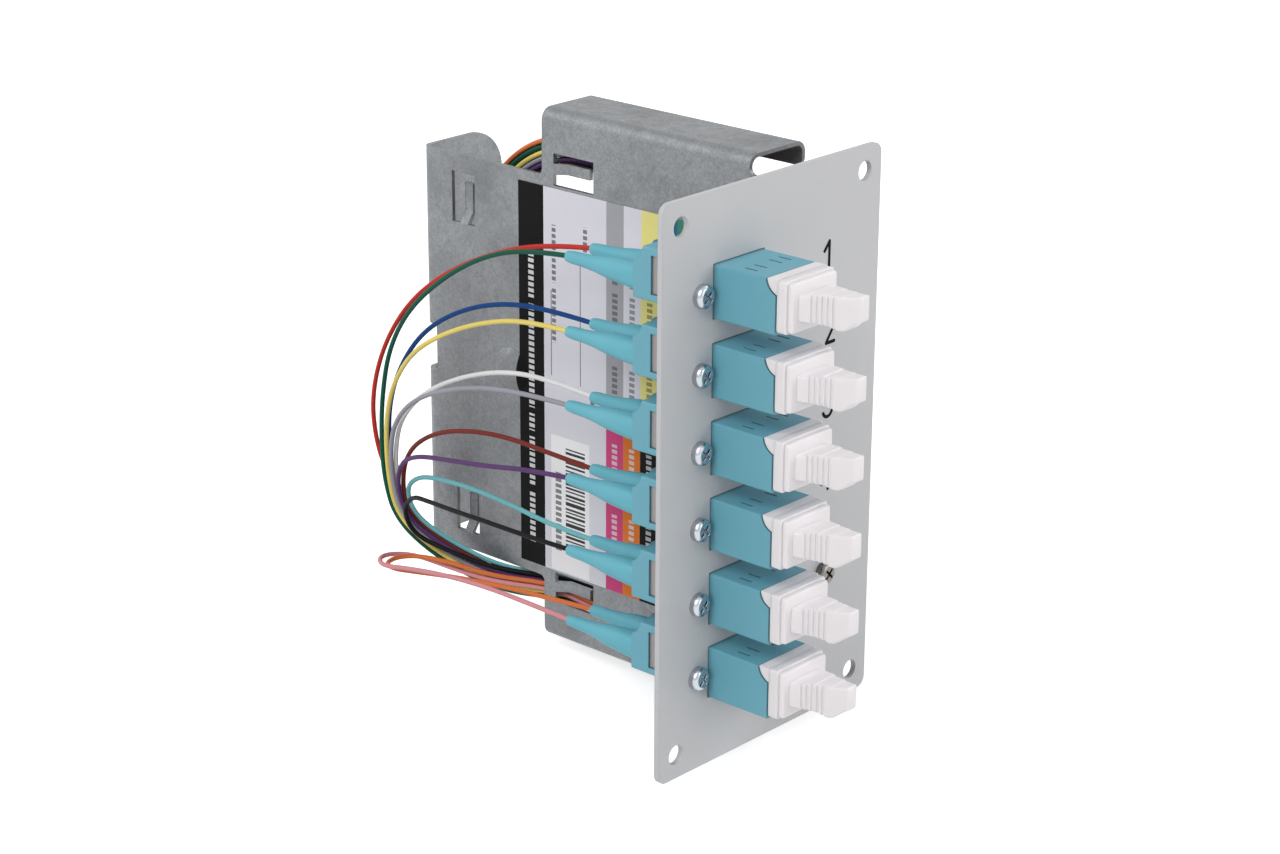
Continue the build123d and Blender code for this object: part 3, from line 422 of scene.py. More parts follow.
def label_film(name):
    """Printed film: fields of ink by their place on the wall, with slightly ragged edges and a faint texture."""
    material, g, shader = start_material(name)
    colour = WHITE_FILM
    place = g.add("ShaderNodeSeparateXYZ", {"Vector": g.here()}).outputs
    ragged = g.maths("MULTIPLY", g.maths("SUBTRACT", g.noise(g.here(), 5200.0, 2.0), 0.5), 0.12 * MM)
    y, z = g.maths("ADD", place[1], ragged), g.maths("ADD", place[2], ragged)
    along = g.maths("FRACT", g.maths("MULTIPLY", z, 1 / (DASH_PITCH * MM)))
    dash = g.maths("GREATER_THAN", along, DASH_GAP_SHARE)
    rows = [(*bar[:5], g.maths("MULTIPLY", dash, bar[5])) for bar in rows_of_bars()]
    for y_low, y_high, z_low, z_high, ink, strength in label_fields() + rows:
        colour = g.group("Print Field", {"Under": colour, "Ink": ink, "Y": y, "Z": z, "Y Low": y_low * MM,
                                         "Y High": y_high * MM, "Z Low": z_low * MM, "Z High": z_high * MM,
                                         "Strength": strength})["Colour"]
    tone = g.group("Tone Drift", {"Colour": colour, "Amount": 0.035, "Scale": 70.0})["Colour"]
    marks = g.group("Handling Marks", {"Scale": 80.0, "Amount": 0.4})
    fine = g.group("Fine Grain", {"Scale": 1600.0, "Dimple": 0.3})
    rough = g.maths("ADD", 0.55, g.maths("MULTIPLY", marks["Mask"], 0.25))
    finish_surface(g, shader, tone, rough, fine["Height"], 0.00001)
    shader.inputs["Specular IOR Level"].default_value = 0.1
    return material


FIBRE_INKS = {
    "red": linear(188, 50, 40), "green": linear(8, 80, 62), "blue": linear(14, 64, 124),
    "yellow": linear(226, 206, 112), "white": linear(226, 226, 226), "grey": linear(150, 150, 160),
    "brown": linear(118, 46, 38), "violet": linear(88, 56, 104), "turquoise": linear(114, 184, 190),
    "black": linear(8, 8, 9), "orange": linear(214, 116, 64), "pink": linear(214, 144, 150),
}

MATERIALS = {
    "panel_coating": powder_coat("panel_coating", linear(187, 187, 189)),
    "galvanised_steel": zinc_sheet("galvanised_steel"),
    "label_film": label_film("label_film"),
    "aqua_plastic": moulded("aqua_plastic", linear(100, 163, 180), 0.42, crevice_shade=0.75),
    "white_plastic": moulded("white_plastic", linear(230, 226, 228), 0.5, 0.02, soft=0.2),
    "plug_body_plastic": moulded("plug_body_plastic", linear(84, 150, 168), 0.42, crevice_shade=0.75),
    "boot_rubber": moulded("boot_rubber", linear(94, 171, 187), 0.5, 0.05, 0.00002),
    "spring_steel": bright_metal("spring_steel", linear(150, 146, 146), 0.5, 0.6),
    "ceramic": moulded("ceramic", linear(232, 230, 222), 0.18, 0.03),
    "plated_screw": bright_metal("plated_screw", linear(186, 190, 197), 0.2),
    "stainless_screw": bright_metal("stainless_screw", linear(128, 124, 120), 0.22),
    "comb_plastic": moulded("comb_plastic", linear(64, 66, 70), 0.42),
    "clear_sleeve": shrink_sleeve("clear_sleeve"),
    "foam": foam("foam"),
    "fibre_mix": fibre("fibre_mix", linear(150, 140, 130)),
}
for ink_name, ink in FIBRE_INKS.items():
    MATERIALS["fibre_" + ink_name] = fibre("fibre_" + ink_name, ink)

SLOT_OF = {entry["node"]: entry["material_slot"] for entry in frame["record"]["subparts"]}
for node_name, node in frame["nodes"].items():
    material = MATERIALS[SLOT_OF[node_name]]
    if node.data.materials:
        for i in range(len(node.data.materials)):
            node.data.materials[i] = material
    else:
        node.data.materials.append(material)


# ---------------------------------------------------------------- pigtails

FIBRE_D, EXIT_Y = 0.9, 35.1
FIBRE_ORDER = ["red", "green", "blue", "yellow", "white", "grey", "brown", "violet", "turquoise", "black",
               "orange", "pink"]
# column and row of each pigtail in the bundle that turns round the rear section's lower edge
LANES = {1: (2, 4), 2: (1, 4), 3: (2, 3), 4: (1, 3), 5: (2, 2), 6: (1, 2), 7: (2, 1), 8: (1, 1), 9: (2, 0),
         10: (1, 0), 11: (0, 1), 12: (0, 2)}
LANE_PITCH, OUTER_LANE_DROP, INNER_PIGTAIL = 1.15, 1.2, 10
# the bundle's stations, round the edge and below the wall: (x, y, z) of the middle column's first row, then the
# steps in y and z to the next row
EDGE_STATIONS = [(-5.0, 86.2, -26.6, 1.2, 0.3), (-3.6, 85.4, -32.2, 1.05, -0.4), (-0.9, 79.6, -36.4, 0.65, -0.9)]
WALL_STATIONS = [(2.3, 68.0, -40.1, 0.2, -1.1), (8.6, 57.0, -40.6, 0.0, -1.1), (8.9, 49.0, -40.6, 0.0, -1.05)]
# the free arc of each pigtail from its boot to the bundle, as the photograph shows it
ROUTES = {
    1: [(-6.5, 46, 31), (-7, 58.5, 27), (-7, 70.5, 21), (-6.8, 81, 13), (-6.2, 89, 2.5), (-5.2, 93.7, -9),
        (-4.2, 94, -18.5)],
    2: [(-12.5, 45.5, 31.5), (-12, 57, 27.5), (-11, 68, 21), (-9.5, 78.5, 12.5), (-7.5, 86.2, 2.5),
        (-6, 90, -8.5), (-5.2, 91.3, -17.5)],
    3: [(-6.2, 45, 18.9), (-6.5, 56, 18), (-6.9, 67, 14.5), (-6.8, 77.5, 8), (-6, 85.3, -1.5),
        (-4.8, 89.5, -11), (-4, 90.3, -19)],
    4: [(-12.5, 45, 18.5), (-12, 56.5, 15.5), (-10.8, 68, 10.5), (-9, 78.5, 4), (-7.2, 86, -5),
        (-5.8, 89.5, -14.5)],
    5: [(-6.2, 45, 5.7), (-6.5, 56, 5), (-6.9, 67, 1.5), (-6.6, 77.5, -4), (-5.5, 85.5, -11.5),
        (-4.4, 88.4, -19.5)],
    6: [(-12.5, 45, 4.7), (-12, 56, 3.2), (-11, 67, 0), (-9.2, 77.5, -4.8), (-7.2, 85.3, -11.5),
        (-5.7, 88.4, -19)],
    7: [(-6.3, 45, -8.4), (-6.5, 55.5, -7.8), (-6.6, 66, -8.9), (-6.3, 76, -12), (-5.2, 84.2, -18)],
    8: [(-12.5, 45, -9.7), (-12, 56, -12), (-10.8, 67, -14), (-9, 77.5, -16.2), (-6.8, 84.5, -20)],
    9: [(-6.3, 45, -22.3), (-6.5, 55.5, -20.9), (-6.4, 66, -20.4), (-6, 75.3, -21), (-4.9, 82, -22.8)],
    10: [(-12.5, 45, -22.7), (-12, 56, -23), (-10.8, 66.5, -23.8), (-9, 75.5, -24.7), (-7.3, 80.8, -25.8),
         (-5.8, 85.1, -29.8), (-4.3, 84.2, -35.2), (-1.8, 78, -37.6)],
    11: [(-6.9, 45, -36.6), (-8.8, 55.5, -36.6), (-11.2, 65.5, -36.9), (-13.6, 73.6, -37.4), (-14.6, 79.2, -38),
         (-12.6, 82.9, -38.5), (-8.7, 84.3, -38.9), (-4.9, 82.6, -39.2), (-2.2, 76.4, -39.6)],
    12: [(-12.6, 45, -35.8), (-12.9, 55.5, -35.5), (-13.8, 65.5, -35.7), (-15.1, 74.2, -36.4),
         (-15.8, 80.4, -37.4), (-13.2, 84.4, -37.7), (-8.6, 86, -38.6), (-4, 83.8, -39.6), (-1.4, 76.6, -41.2)],
}


def exit_point(number):
    """The middle of the boot's end face that pigtail number comes out of."""
    port = (number + 1) // 2
    side = 1 if number % 2 else -1
    return (PORT_X + side * LC_SPACING / 2, EXIT_Y, port_z(port) - LC_DROP)


def bundle_points(number):
    """Where the pigtails lie side by side, round the rear section's lower edge and on below the wall."""
    column, row = LANES[number]
    across = (column - 1) * LANE_PITCH
    stations = (EDGE_STATIONS if column and number != INNER_PIGTAIL else []) + WALL_STATIONS
    points = [(across + x, y + step_y * row, z + step_z * row) for x, y, z, step_y, step_z in stations]
    if column == 0:
        x, y, z = points[-1]
        points[-1] = (x, y, z - OUTER_LANE_DROP)
    return points


# the coil behind the wall: a rounded rectangle of turns, seen from the side
COIL_Y, COIL_HALF_Y, COIL_HALF_Z, COIL_CORNER = 47.0, 31.0, 43.25, 26.0
CORNER_STEPS = 4
FIRST_LANE_Z, LANE_STEP = -40.6, 1.05
COIL_X, SIDE_STEP = 8.7, 0.95
FULL_TURNS = 2
# the rear side starts this far behind the coil's middle; above its straight part a lane stands out a little more
REAR_SIDE, STAND_OUT_SHARE, STAND_OUT_HEIGHT = 12, 0.019, 6
# each pigtail's lane, outwards from the inner edge, and its side, 0 next to the wall and 1 outside
COIL_LANES = {10: (0, 0), 9: (0, 1), 8: (1, 0), 7: (1, 1), 6: (2, 0), 5: (2, 1), 4: (3, 0), 3: (3, 1), 2: (4, 0),
              1: (4, 1), 11: (5, 0), 12: (5, 1)}
# the two pigtails that come in against the wall sink to the outermost lane: (lane, x) of their first points
SINKING = {11: [(3.2, 7.65), (4.2, 7.65), (4.85, 8.05), (5, 8.6)],
           12: [(4.35, 7.75), (5, 8.4), (5, 9.15), (5, 9.6)]}
# how far the coil has grown out from the wall after so many turns
TURNS, GROWTH = (0, 1, 2, 2.75), (0, 2.28, 4.14, 5.53)
SLEEVE_END_Y, SLOT_PITCH, SLOT_MIDDLE = 65.9, 3.6, 5.5
# a pigtail leaves the coil this far above its slot, by (height above the slot, share of the way to LEAVE_Y)
LEAVE_ABOVE, LEAVE_Y, LEAVE_STEPS = 17.2, 75.0, ((15.0, 0.0), (10.5, 0.35), (6.6, 1.0))
# and turns into its sleeve through these, as (y, height above the slot)
TURN_IN = ((73.9, 2.1), (71.2, 0.3), (68.3, 0.0), (SLEEVE_END_Y, 0.0))
TURN_IN_SHARE, TURN_IN_X = 0.34, 9.85


def coil_loop():
    """One turn's control points as (y, z) of a corner's centre and a direction out from it: down, then up the
    front, back along the top and down the rear. Points on a corner stand out a little, so that the spline's own
    line keeps the corner's radius."""
    corner_y, corner_z = COIL_HALF_Y - COIL_CORNER, COIL_HALF_Z - COIL_CORNER
    stand_out = 1 / math.cos(math.pi / 4 / CORNER_STEPS)
    straight = [(-corner_y, 0.0), (0.0, corner_z), (corner_y, 0.0), (0.0, -corner_z)]
    points = []
    for quarter, (side_y, side_z) in enumerate([(-1, -1), (-1, 1), (1, 1), (1, -1)]):
        for step in range(CORNER_STEPS):
            turn = (quarter + (step + 0.5) / CORNER_STEPS) * math.pi / 2
            points.append((side_y * corner_y, side_z * corner_z, -math.sin(turn) * stand_out,
                           -math.cos(turn) * stand_out))
        turn = (quarter + 1) * math.pi / 2
        points.append((*straight[quarter], -math.sin(turn), -math.cos(turn)))
    return points


LOOP = coil_loop()


def lane_radius(lane):
    return COIL_CORNER - FIRST_LANE_Z + LANE_STEP * lane - COIL_HALF_Z


def built_up(turns):
    """How far out from its first turn a pigtail lies after so many turns."""
    return float(np.interp(turns, TURNS, GROWTH))


def rear_y(z, lane):
    """The y of a lane's last pass at height z on the coil's rear side: straight, then on the corner's circle."""
    over = max(0.0, z - (COIL_HALF_Z - COIL_CORNER))
    radius = lane_radius(lane) * (1 + STAND_OUT_SHARE * min(1.0, over / STAND_OUT_HEIGHT))
    return COIL_Y + COIL_HALF_Y - COIL_CORNER + math.sqrt(radius ** 2 - over ** 2)


def coil_points(number):
    """The turns of one pigtail and its way from the last one down into its splice sleeve."""
    lane, side = COIL_LANES[number]
    start_x = COIL_X + SIDE_STEP * side
    slot_z = (11 - 2 * lane - side - SLOT_MIDDLE) * SLOT_PITCH
    sinking = SINKING.get(number, [])
    points = []
    while True:
        step = len(points)
        turns = (step + 1) / len(LOOP)
        at_lane, x = sinking[step] if step < len(sinking) else (lane, start_x + built_up(turns))
        middle_y, middle_z, out_y, out_z = LOOP[step % len(LOOP)]
        radius = lane_radius(at_lane)
        point = (x, COIL_Y + middle_y + out_y * radius, middle_z + out_z * radius)
        on_rear_side = turns > FULL_TURNS + 0.5 and point[1] > COIL_Y + REAR_SIDE
        if on_rear_side and point[2] < slot_z + LEAVE_ABOVE:
            break
        points.append(point)
    top = start_x + built_up(FULL_TURNS + 0.75)
    for up, share in LEAVE_STEPS:
        y = rear_y(slot_z + up, lane)
        points.append((top, y + (min(y, LEAVE_Y) - y) * share, slot_z + up))
    across = (top - 0.1, (1 - TURN_IN_SHARE) * top + TURN_IN_SHARE * SLEEVE_X, TURN_IN_X, SLEEVE_X)
    return points + [(x, y, slot_z + up) for x, (y, up) in zip(across, TURN_IN)]


CORD_LENGTHS_M = {1: 0.891, 2: 0.884, 3: 0.852, 4: 0.846, 5: 0.813, 6: 0.808, 7: 0.775, 8: 0.769, 9: 0.740,
                  10: 0.733, 11: 0.858, 12: 0.867}


def make_cord(number):
    """One open spline on the route's points, with a round section."""
    points = [exit_point(number)] + ROUTES[number] + bundle_points(number) + coil_points(number)
    curve = bpy.data.curves.new(f"cord_{number}", "CURVE")
    curve.dimensions = "3D"
    curve.bevel_depth = FIBRE_D / 2 * MM
    curve.bevel_resolution = 3
    curve.use_fill_caps = True
    spline = curve.splines.new("NURBS")
    spline.points.add(len(points) - 1)
    placed = np.ones((len(points), 4))
    placed[:, :3] = np.array(points) * MM
    spline.points.foreach_set("co", placed.ravel())
    spline.order_u = 3
    spline.use_endpoint_u = True
    spline.resolution_u = 8
    cord = bpy.data.objects.new(f"cord_{number}", curve)
    bpy.context.scene.collection.objects.link(cord)
    slot = "fibre_" + FIBRE_ORDER[number - 1]
    curve.materials.append(MATERIALS[slot])
    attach(cord, BODY)
    replaced = [f"pigtail_{number}"] + (["fibre_coil"] if number == 1 else [])
    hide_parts(*replaced)
    return cord


for pigtail in CORD_LENGTHS_M:
    make_cord(pigtail)


# ---------------------------------------------------------------- moulded pieces

RING_POINTS = 48
SHARP_DEGREES = 38
# a ring's exponent: a circle, then squares with ever sharper corners
ROUND, SOFT, SQUARE, CRISP = 2, 12.0, 16, 22.0


def pair_x():
    """The middles of a port's left and right plug."""
    return [PORT_X + side * LC_SPACING / 2 for side in (-1, 1)]


def ring_at(y, middle_x, half_x, low_z, high_z, squareness):
    """One closed ring across Y: a superellipse, |x/a|^n + |z/b|^n = 1, round for n of 2, nearly square for 12."""
    turn = (np.arange(RING_POINTS) + 0.5) / RING_POINTS * 2 * np.pi
    share_x = np.sign(np.cos(turn)) * np.abs(np.cos(turn)) ** (2 / squareness)
    share_z = np.sign(np.sin(turn)) * np.abs(np.sin(turn)) ** (2 / squareness)
    return np.column_stack([middle_x + half_x * share_x, np.full(RING_POINTS, y),
                            (low_z + high_z) / 2 + (high_z - low_z) / 2 * share_z])


def loft(rings):
    """A closed skin over rings in order along +Y, as (points, quads, ends): point k of ring r joins points k and
    k + 1 of ring r + 1, and one flat face closes each end."""
    here = np.arange(RING_POINTS)
    row = np.arange(len(rings) - 1)[:, None] * RING_POINTS
    low, after = row + here, row + (here + 1) % RING_POINTS
    quads = np.stack([low, low + RING_POINTS, after + RING_POINTS, after], axis=2).reshape(-1, 4)
    return np.concatenate(rings), quads, [here, (len(rings) - 1) * RING_POINTS + here[::-1]]


def prism(outline, low_x, high_x):
    """A closed prism along X, as (points, quads, ends): a copy of the outline at each end, joined by quads. The
    outline's (y, z) points run anticlockwise seen from +X."""
    flat = np.array(outline, float)
    size = len(flat)
    ends = [np.column_stack([np.full(size, x), flat]) for x in (low_x, high_x)]
    here = np.arange(size)
    after = (here + 1) % size
    quads = np.column_stack([here, after, size + after, size + here])
    return np.concatenate(ends), quads, [here[::-1], size + here]


def make_piece(name, solids, slot, body, *nodes, material=None):
    """One object of several closed solids, in place of the CAD nodes named, if any."""
    starts = np.cumsum([0] + [len(points) for points, _, _ in solids])
    quads = np.concatenate([start + solid[1] for start, solid in zip(starts, solids)])
    ends = [(start + end).tolist() for start, solid in zip(starts, solids) for end in solid[2]]
    mesh = bpy.data.meshes.new(name)
    mesh.from_pydata((np.concatenate([solid[0] for solid in solids]) * MM).tolist(), [], quads.tolist() + ends)
    mesh.update()
    mesh.polygons.foreach_set("use_smooth", np.arange(len(mesh.polygons)) < len(quads))
    mesh.set_sharp_from_angle(angle=math.radians(SHARP_DEGREES))
    mesh.materials.append(material or MATERIALS[slot])
    piece = bpy.data.objects.new(name, mesh)
    bpy.context.scene.collection.objects.link(piece)
    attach(piece, body)
    if nodes:
        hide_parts(*nodes)
    return piece


# dust plugs
COLLAR_LOW, COLLAR_HIGH, COLLAR_HALF_W = -4.3, 4.7, 6.2
# (y, inset): the front block's rounded face, the block, the groove behind it, and the flange on the adapter
COLLAR_STATIONS = [(-17.15, 0.75), (-17.02, 0.5), (-16.85, 0.42), (-16.32, 0.42), (-16.28, 0.62), (-16.12, 0.62),
                   (-16.08, 0.12), (-15.98, 0.0), (-14.3, 0.0), (-14.15, 0.12)]
INSET_SHARE_LOW, INSET_SHARE_HIGH = 0.7, 0.8
GRIP_START_Y, GRIP_LENGTH, GRIP_ROOT, GRIP_TIP = -17.1, 10.3, 4.2, 1.2
GRIP_HALF_H, GRIP_CLIMB, TIP_LIFT = 2.3, 1.2, 1.4
RIBS_START, RIBS_END, RIB_PITCH, GROOVE_W, GROOVE_DEPTH = 2.0, 6.6, 0.92, 0.46, 0.3
TOP_STEP_START, TOP_STEP_END, TOP_STEP_H, TIP_STEP_START, TIP_STEP_H = 1.4, 4.4, 0.16, 7.4, 0.12
FOOT_H, FOOT_MIDDLE, FOOT_SPREAD, TIP_RISE_START = 0.55, 6.9, 1.5, 7.2
TIP_ROUND_START, TIP_ROUND_LENGTH, TIP_ROUND_DEPTH = 10.1, 0.2, 0.22
LOBE_Y, LOBE_Z, LOBE_R, LOBE_FRONT_Y, LOBE_LOW_Z = -15.1, 5.0, 2.95, -14.5, 2.2
LOBE_TURN, LOBE_POINTS = (-5.8, -72.2), 14
# (y, half width, squareness): the peg, its bevelled mouth and the blind bore in it
PEG_STATIONS = [(-14.5, 2.25, SQUARE), (-8.5, 2.25, SQUARE), (-8.15, 1.9, SQUARE), (-8.15, 1.02, ROUND),
                (-8.3, 1.0, ROUND), (-11.0, 1.0, ROUND)]


def plug_collar(z):
    """The flange against the adapter, a groove round it and a slightly smaller block in front."""
    return loft([ring_at(y, PORT_X, COLLAR_HALF_W - inset, z + COLLAR_LOW + inset * INSET_SHARE_LOW,
                         z + COLLAR_HIGH - inset * INSET_SHARE_HIGH, CRISP) for y, inset in COLLAR_STATIONS])


def plug_grip(z):
    """Finger grip that narrows in a straight line to its tip, from rings along it. Five upright grooves leave
    ribs on its sides: a ring lies in a groove where its way along, over the rib pitch, leaves a remainder under a
    groove's width. The top climbs with two small steps. The underside swells to a low foot as a bell curve, and a
    smooth step lifts it at the tip."""
    along = np.concatenate([np.linspace(-0.6, 1.9, 6), np.linspace(RIBS_START, RIBS_END, 93),
                            np.linspace(6.7, TIP_ROUND_START, 14), [10.2, 10.27, GRIP_LENGTH]])
    share = np.clip(along, 0, GRIP_LENGTH) / GRIP_LENGTH
    grooves = (along > RIBS_START) & (along < RIBS_END) & (np.mod(along - RIBS_START, RIB_PITCH) < GROOVE_W)
    end = np.clip((along - TIP_ROUND_START) / TIP_ROUND_LENGTH, 0, 1) ** 2 * TIP_ROUND_DEPTH
    half = GRIP_ROOT + (GRIP_TIP - GRIP_ROOT) * share - GROOVE_DEPTH * grooves - end
    on_step = (along > TOP_STEP_START) & (along < TOP_STEP_END)
    steps = TOP_STEP_H * on_step - TIP_STEP_H * (along > TIP_STEP_START)
    high = GRIP_HALF_H + GRIP_CLIMB * share + steps - end
    foot = FOOT_H * np.exp(-((along - FOOT_MIDDLE) / FOOT_SPREAD) ** 2)
    rise = np.clip((along - TIP_RISE_START) / (GRIP_LENGTH - TIP_RISE_START), 0, 1)
    low = -GRIP_HALF_H - foot + TIP_LIFT * rise * rise * (3 - 2 * rise) + end
    rings = [ring_at(GRIP_START_Y - a, PORT_X, w, z + b, z + t, SOFT)
             for a, w, b, t in zip(along, half, low, high)]
    return loft(rings[::-1])


def plug_lobe(z):
    """The part of the collar that fills the round cut in the adapter's roof: a sector under an arc, along X."""
    turn = np.radians(np.linspace(*LOBE_TURN, LOBE_POINTS))
    arc_points = np.column_stack([LOBE_Y + LOBE_R * np.cos(turn), z + LOBE_Z + LOBE_R * np.sin(turn)])
    front = [(LOBE_FRONT_Y, z + COLLAR_HIGH), (LOBE_FRONT_Y, z + LOBE_LOW_Z)]
    outline = np.concatenate([front, arc_points[::-1]])
    return prism(outline, PORT_X - COLLAR_HALF_W, PORT_X + COLLAR_HALF_W)


def plug_peg_skin(x, z):
    """Square peg with a bevelled mouth and a blind bore."""
    return loft([ring_at(y, x, half, z - half, z + half, n) for y, half, n in PEG_STATIONS])


def make_dust_plug(port):
    z = port_z(port)
    pegs = [plug_peg_skin(x, z - LC_DROP) for x in pair_x()]
    make_piece(f"plug_skin_{port}", [plug_collar(z), plug_grip(z), plug_lobe(z), *pegs], "white_plastic",
               f"plug_{port}", f"dust_plug_{port}")


# boots: (y, radius, squareness), from the adapter's end to the fibre
BOOT_SHAPE = [(16.87, 2.3, 3.2), (18.5, 2.3, 2.8), (20.6, 2.24, 2.4), (22.6, 2.17, 2.1), (25.6, 1.88, 2),
              (27.8, 1.52, 2), (30.6, 1.24, 2), (34.6, 1.02, 2), (34.95, 0.96, 2), (35.09, 0.82, 2)]
BOOT_RINGS, BOOT_TIP_Y = 40, 34.6


def boot_skin(x, z):
    """A boot that narrows in one smooth curve: its radius is the cubic through the known stations that takes
    their slopes too, worked out for all rings at once."""
    known = np.array(BOOT_SHAPE)
    y = np.concatenate([np.linspace(known[0, 0], BOOT_TIP_Y, BOOT_RINGS), known[-2:, 0]])
    slope = np.gradient(known[:, 1], known[:, 0])
    step = np.clip(np.searchsorted(known[:, 0], y, side="right") - 1, 0, len(known) - 2)
    width = known[step + 1, 0] - known[step, 0]
    t = (y - known[step, 0]) / width
    radius = ((2 * t ** 3 - 3 * t ** 2 + 1) * known[step, 1] + (t ** 3 - 2 * t ** 2 + t) * width * slope[step]
              + (3 * t ** 2 - 2 * t ** 3) * known[step + 1, 1] + (t ** 3 - t ** 2) * width * slope[step + 1])
    square = np.interp(y, known[:, 0], known[:, 2])
    return loft([ring_at(a, x, r, z - r, z + r, n) for a, r, n in zip(y, radius, square)])


def make_boots(port):
    z = port_z(port) - LC_DROP
    make_piece(f"boot_skin_{port}", [boot_skin(x, z) for x in pair_x()], "boot_rubber", BODY, f"boots_{port}")


# LC plugs and their duplex clips
LC_BODY_STATIONS, LC_TOP = [(4.15, 2.0), (4.4, 2.24), (16.8, 2.24), (16.95, 2.1)], 2.25
LATCH_HALF_W = 0.9
# (y, height over the plug's top)
LATCH_OUTLINE = [(7.15, -0.35), (8.5, -0.35), (16.6, 1.9), (16.6, 2.6), (7.15, 0.35)]
TRIGGER_HALF_W = 2.2
# (y, height over the port's middle)
TRIGGER_OUTLINE = [(18.1, -0.4), (19.0, -0.4), (18.9, 1.0), (15.9, 4.6), (14.95, 4.95), (14.95, 4.25),
                   (17.6, 1.0)]
BRIDGE_HALF_W, BRIDGE_LOW, BRIDGE_HIGH, BRIDGE_SQUARENESS = 3.4, -3.9, 0.15, 6
# (y, inset)
BRIDGE_STATIONS = [(16.9, 0.1), (17.1, 0.0), (19.6, 0.0), (20.4, 0.35), (20.8, 0.9)]


def raised(outline, z):
    """The outline's points with their heights counted from z."""
    return [(y, z + height) for y, height in outline]


def plug_body_skin(x, z):
    """One LC plug inside its channel, and the sprung latch over it."""
    body = loft([ring_at(y, x, half, z - half, z + half, SQUARE) for y, half in LC_BODY_STATIONS])
    return [body, prism(raised(LATCH_OUTLINE, z + LC_TOP), x - LATCH_HALF_W, x + LATCH_HALF_W)]


def make_plug_bodies(port):
    z = port_z(port) - LC_DROP
    solids = [solid for x in pair_x() for solid in plug_body_skin(x, z)]
    make_piece(f"plug_body_skin_{port}", solids, "plug_body_plastic", BODY, f"lc_plugs_{port}")


def clip_bridge(port):
    """The part of a duplex clip that joins two boots."""
    z = port_z(port)
    return loft([ring_at(y, PORT_X, BRIDGE_HALF_W - inset, z + BRIDGE_LOW + inset, z + BRIDGE_HIGH - inset,
                         BRIDGE_SQUARENESS) for y, inset in BRIDGE_STATIONS])


def clip_trigger(port):
    """The trigger that leans forward from the bridge over both latches."""
    return prism(raised(TRIGGER_OUTLINE, port_z(port)), PORT_X - TRIGGER_HALF_W, PORT_X + TRIGGER_HALF_W)


for number in PORTS:
    make_dust_plug(number)
    make_boots(number)
    make_plug_bodies(number)
make_piece("clip_bridges", [clip_bridge(port) for port in PORTS], "aqua_plastic", BODY, "duplex_clips")
# the triggers get a darker copy of the aqua plastic: painted shade, for the shade they sit in behind the panel
# and the adapters' roofs
make_piece("clip_triggers", [clip_trigger(port) for port in PORTS], "aqua_plastic", BODY, "duplex_clips",
           material=moulded("shaded_aqua", linear(56, 122, 134), 0.4, crevice_shade=0.6))


# ---------------------------------------------------------------- port numbers

DIGIT_X, DIGIT_DROP, DIGIT_HALF_H, STROKE = 15.5, 0.3, 2.52, 0.64
PANEL_FACE_Y, INK_T, INK_STEP = -1.0, 0.03, 0.002
CAP_POINTS, ARC_POINTS = 9, 24
# the fifth digit stands higher, clear of the screw below it
RAISED = {5: 0.8}


def arc(middle_x, middle_z, radius, start, end):
    """Points on a circle from one angle to the other, in degrees."""
    turn = np.radians(np.linspace(start, end, ARC_POINTS))
    return np.column_stack([middle_x + radius * np.cos(turn), middle_z + radius * np.sin(turn)])


def digit_strokes(digit):
    """The strokes of one digit as lines of (x, z) points about its middle."""
    top, low = DIGIT_HALF_H - STROKE / 2, STROKE / 2 - DIGIT_HALF_H
    strokes = {
        1: [[(-0.8, low), (-0.8, top + 0.3)], [(-2.1, top - 1.25), (-0.8, top + 0.3)]],
        2: [np.concatenate([arc(0, top - 1.1, 1.1, 165, -28), [(-1.05, low)]]), [(-1.05, low), (1.2, low)]],
        3: [arc(-0.05, top - 1.05, 1.05, 160, -88), arc(-0.1, low + 1.25, 1.25, 92, -160)],
        4: [[(0.6, low), (0.6, top)], [(0.6, top), (-1.2, -0.95)], [(-1.2, -0.95), (1.25, -0.95)]],
        5: [[(1.05, top), (-0.85, top)], [(-0.85, top), (-1.0, 0.35)], arc(-0.1, low + 1.35, 1.35, 128, -155)],
        6: [np.concatenate([[(0.75, top), (0.0, top - 0.75)], arc(1.15, low + 1.3, 2.4, 140, 178)]),
            arc(0, low + 1.25, 1.25, 0, 352)],
    }
    return [np.array(stroke, float) for stroke in strokes[digit]]


def stroke_outline(line, half_width):
    """A round-ended band along a line: the line moved half a width to each side, joined by half circles."""
    way = np.gradient(line, axis=0)
    way /= np.linalg.norm(way, axis=1)[:, None]
    aside = np.column_stack([way[:, 1], -way[:, 0]]) * half_width
    turn = np.linspace(0, np.pi, CAP_POINTS)[1:-1, None]
    last = line[-1] + aside[-1] * np.cos(turn) + way[-1] * half_width * np.sin(turn)
    first = line[0] - aside[0] * np.cos(turn) - way[0] * half_width * np.sin(turn)
    return np.concatenate([line + aside, last, (line - aside)[::-1], first])


def port_number(port, material):
    """The digit of one port, a thin film of ink on the panel's face, upright and read from the front. Each stroke
    is a prism turned a quarter about Z, so that what ran along X points forward."""
    middle = (DIGIT_X, port_z(port) - DIGIT_DROP + RAISED.get(port, 0))
    solids = []
    for i, line in enumerate(digit_strokes(port)):
        outline = stroke_outline(line, STROKE / 2) + middle
        points, quads, ends = prism(outline, -PANEL_FACE_Y, INK_T + INK_STEP * i - PANEL_FACE_Y)
        solids.append((np.column_stack([points[:, 1], -points[:, 0], points[:, 2]]), quads, ends))
    make_piece(f"port_number_{port}", solids, "panel_coating", BODY, material=material)


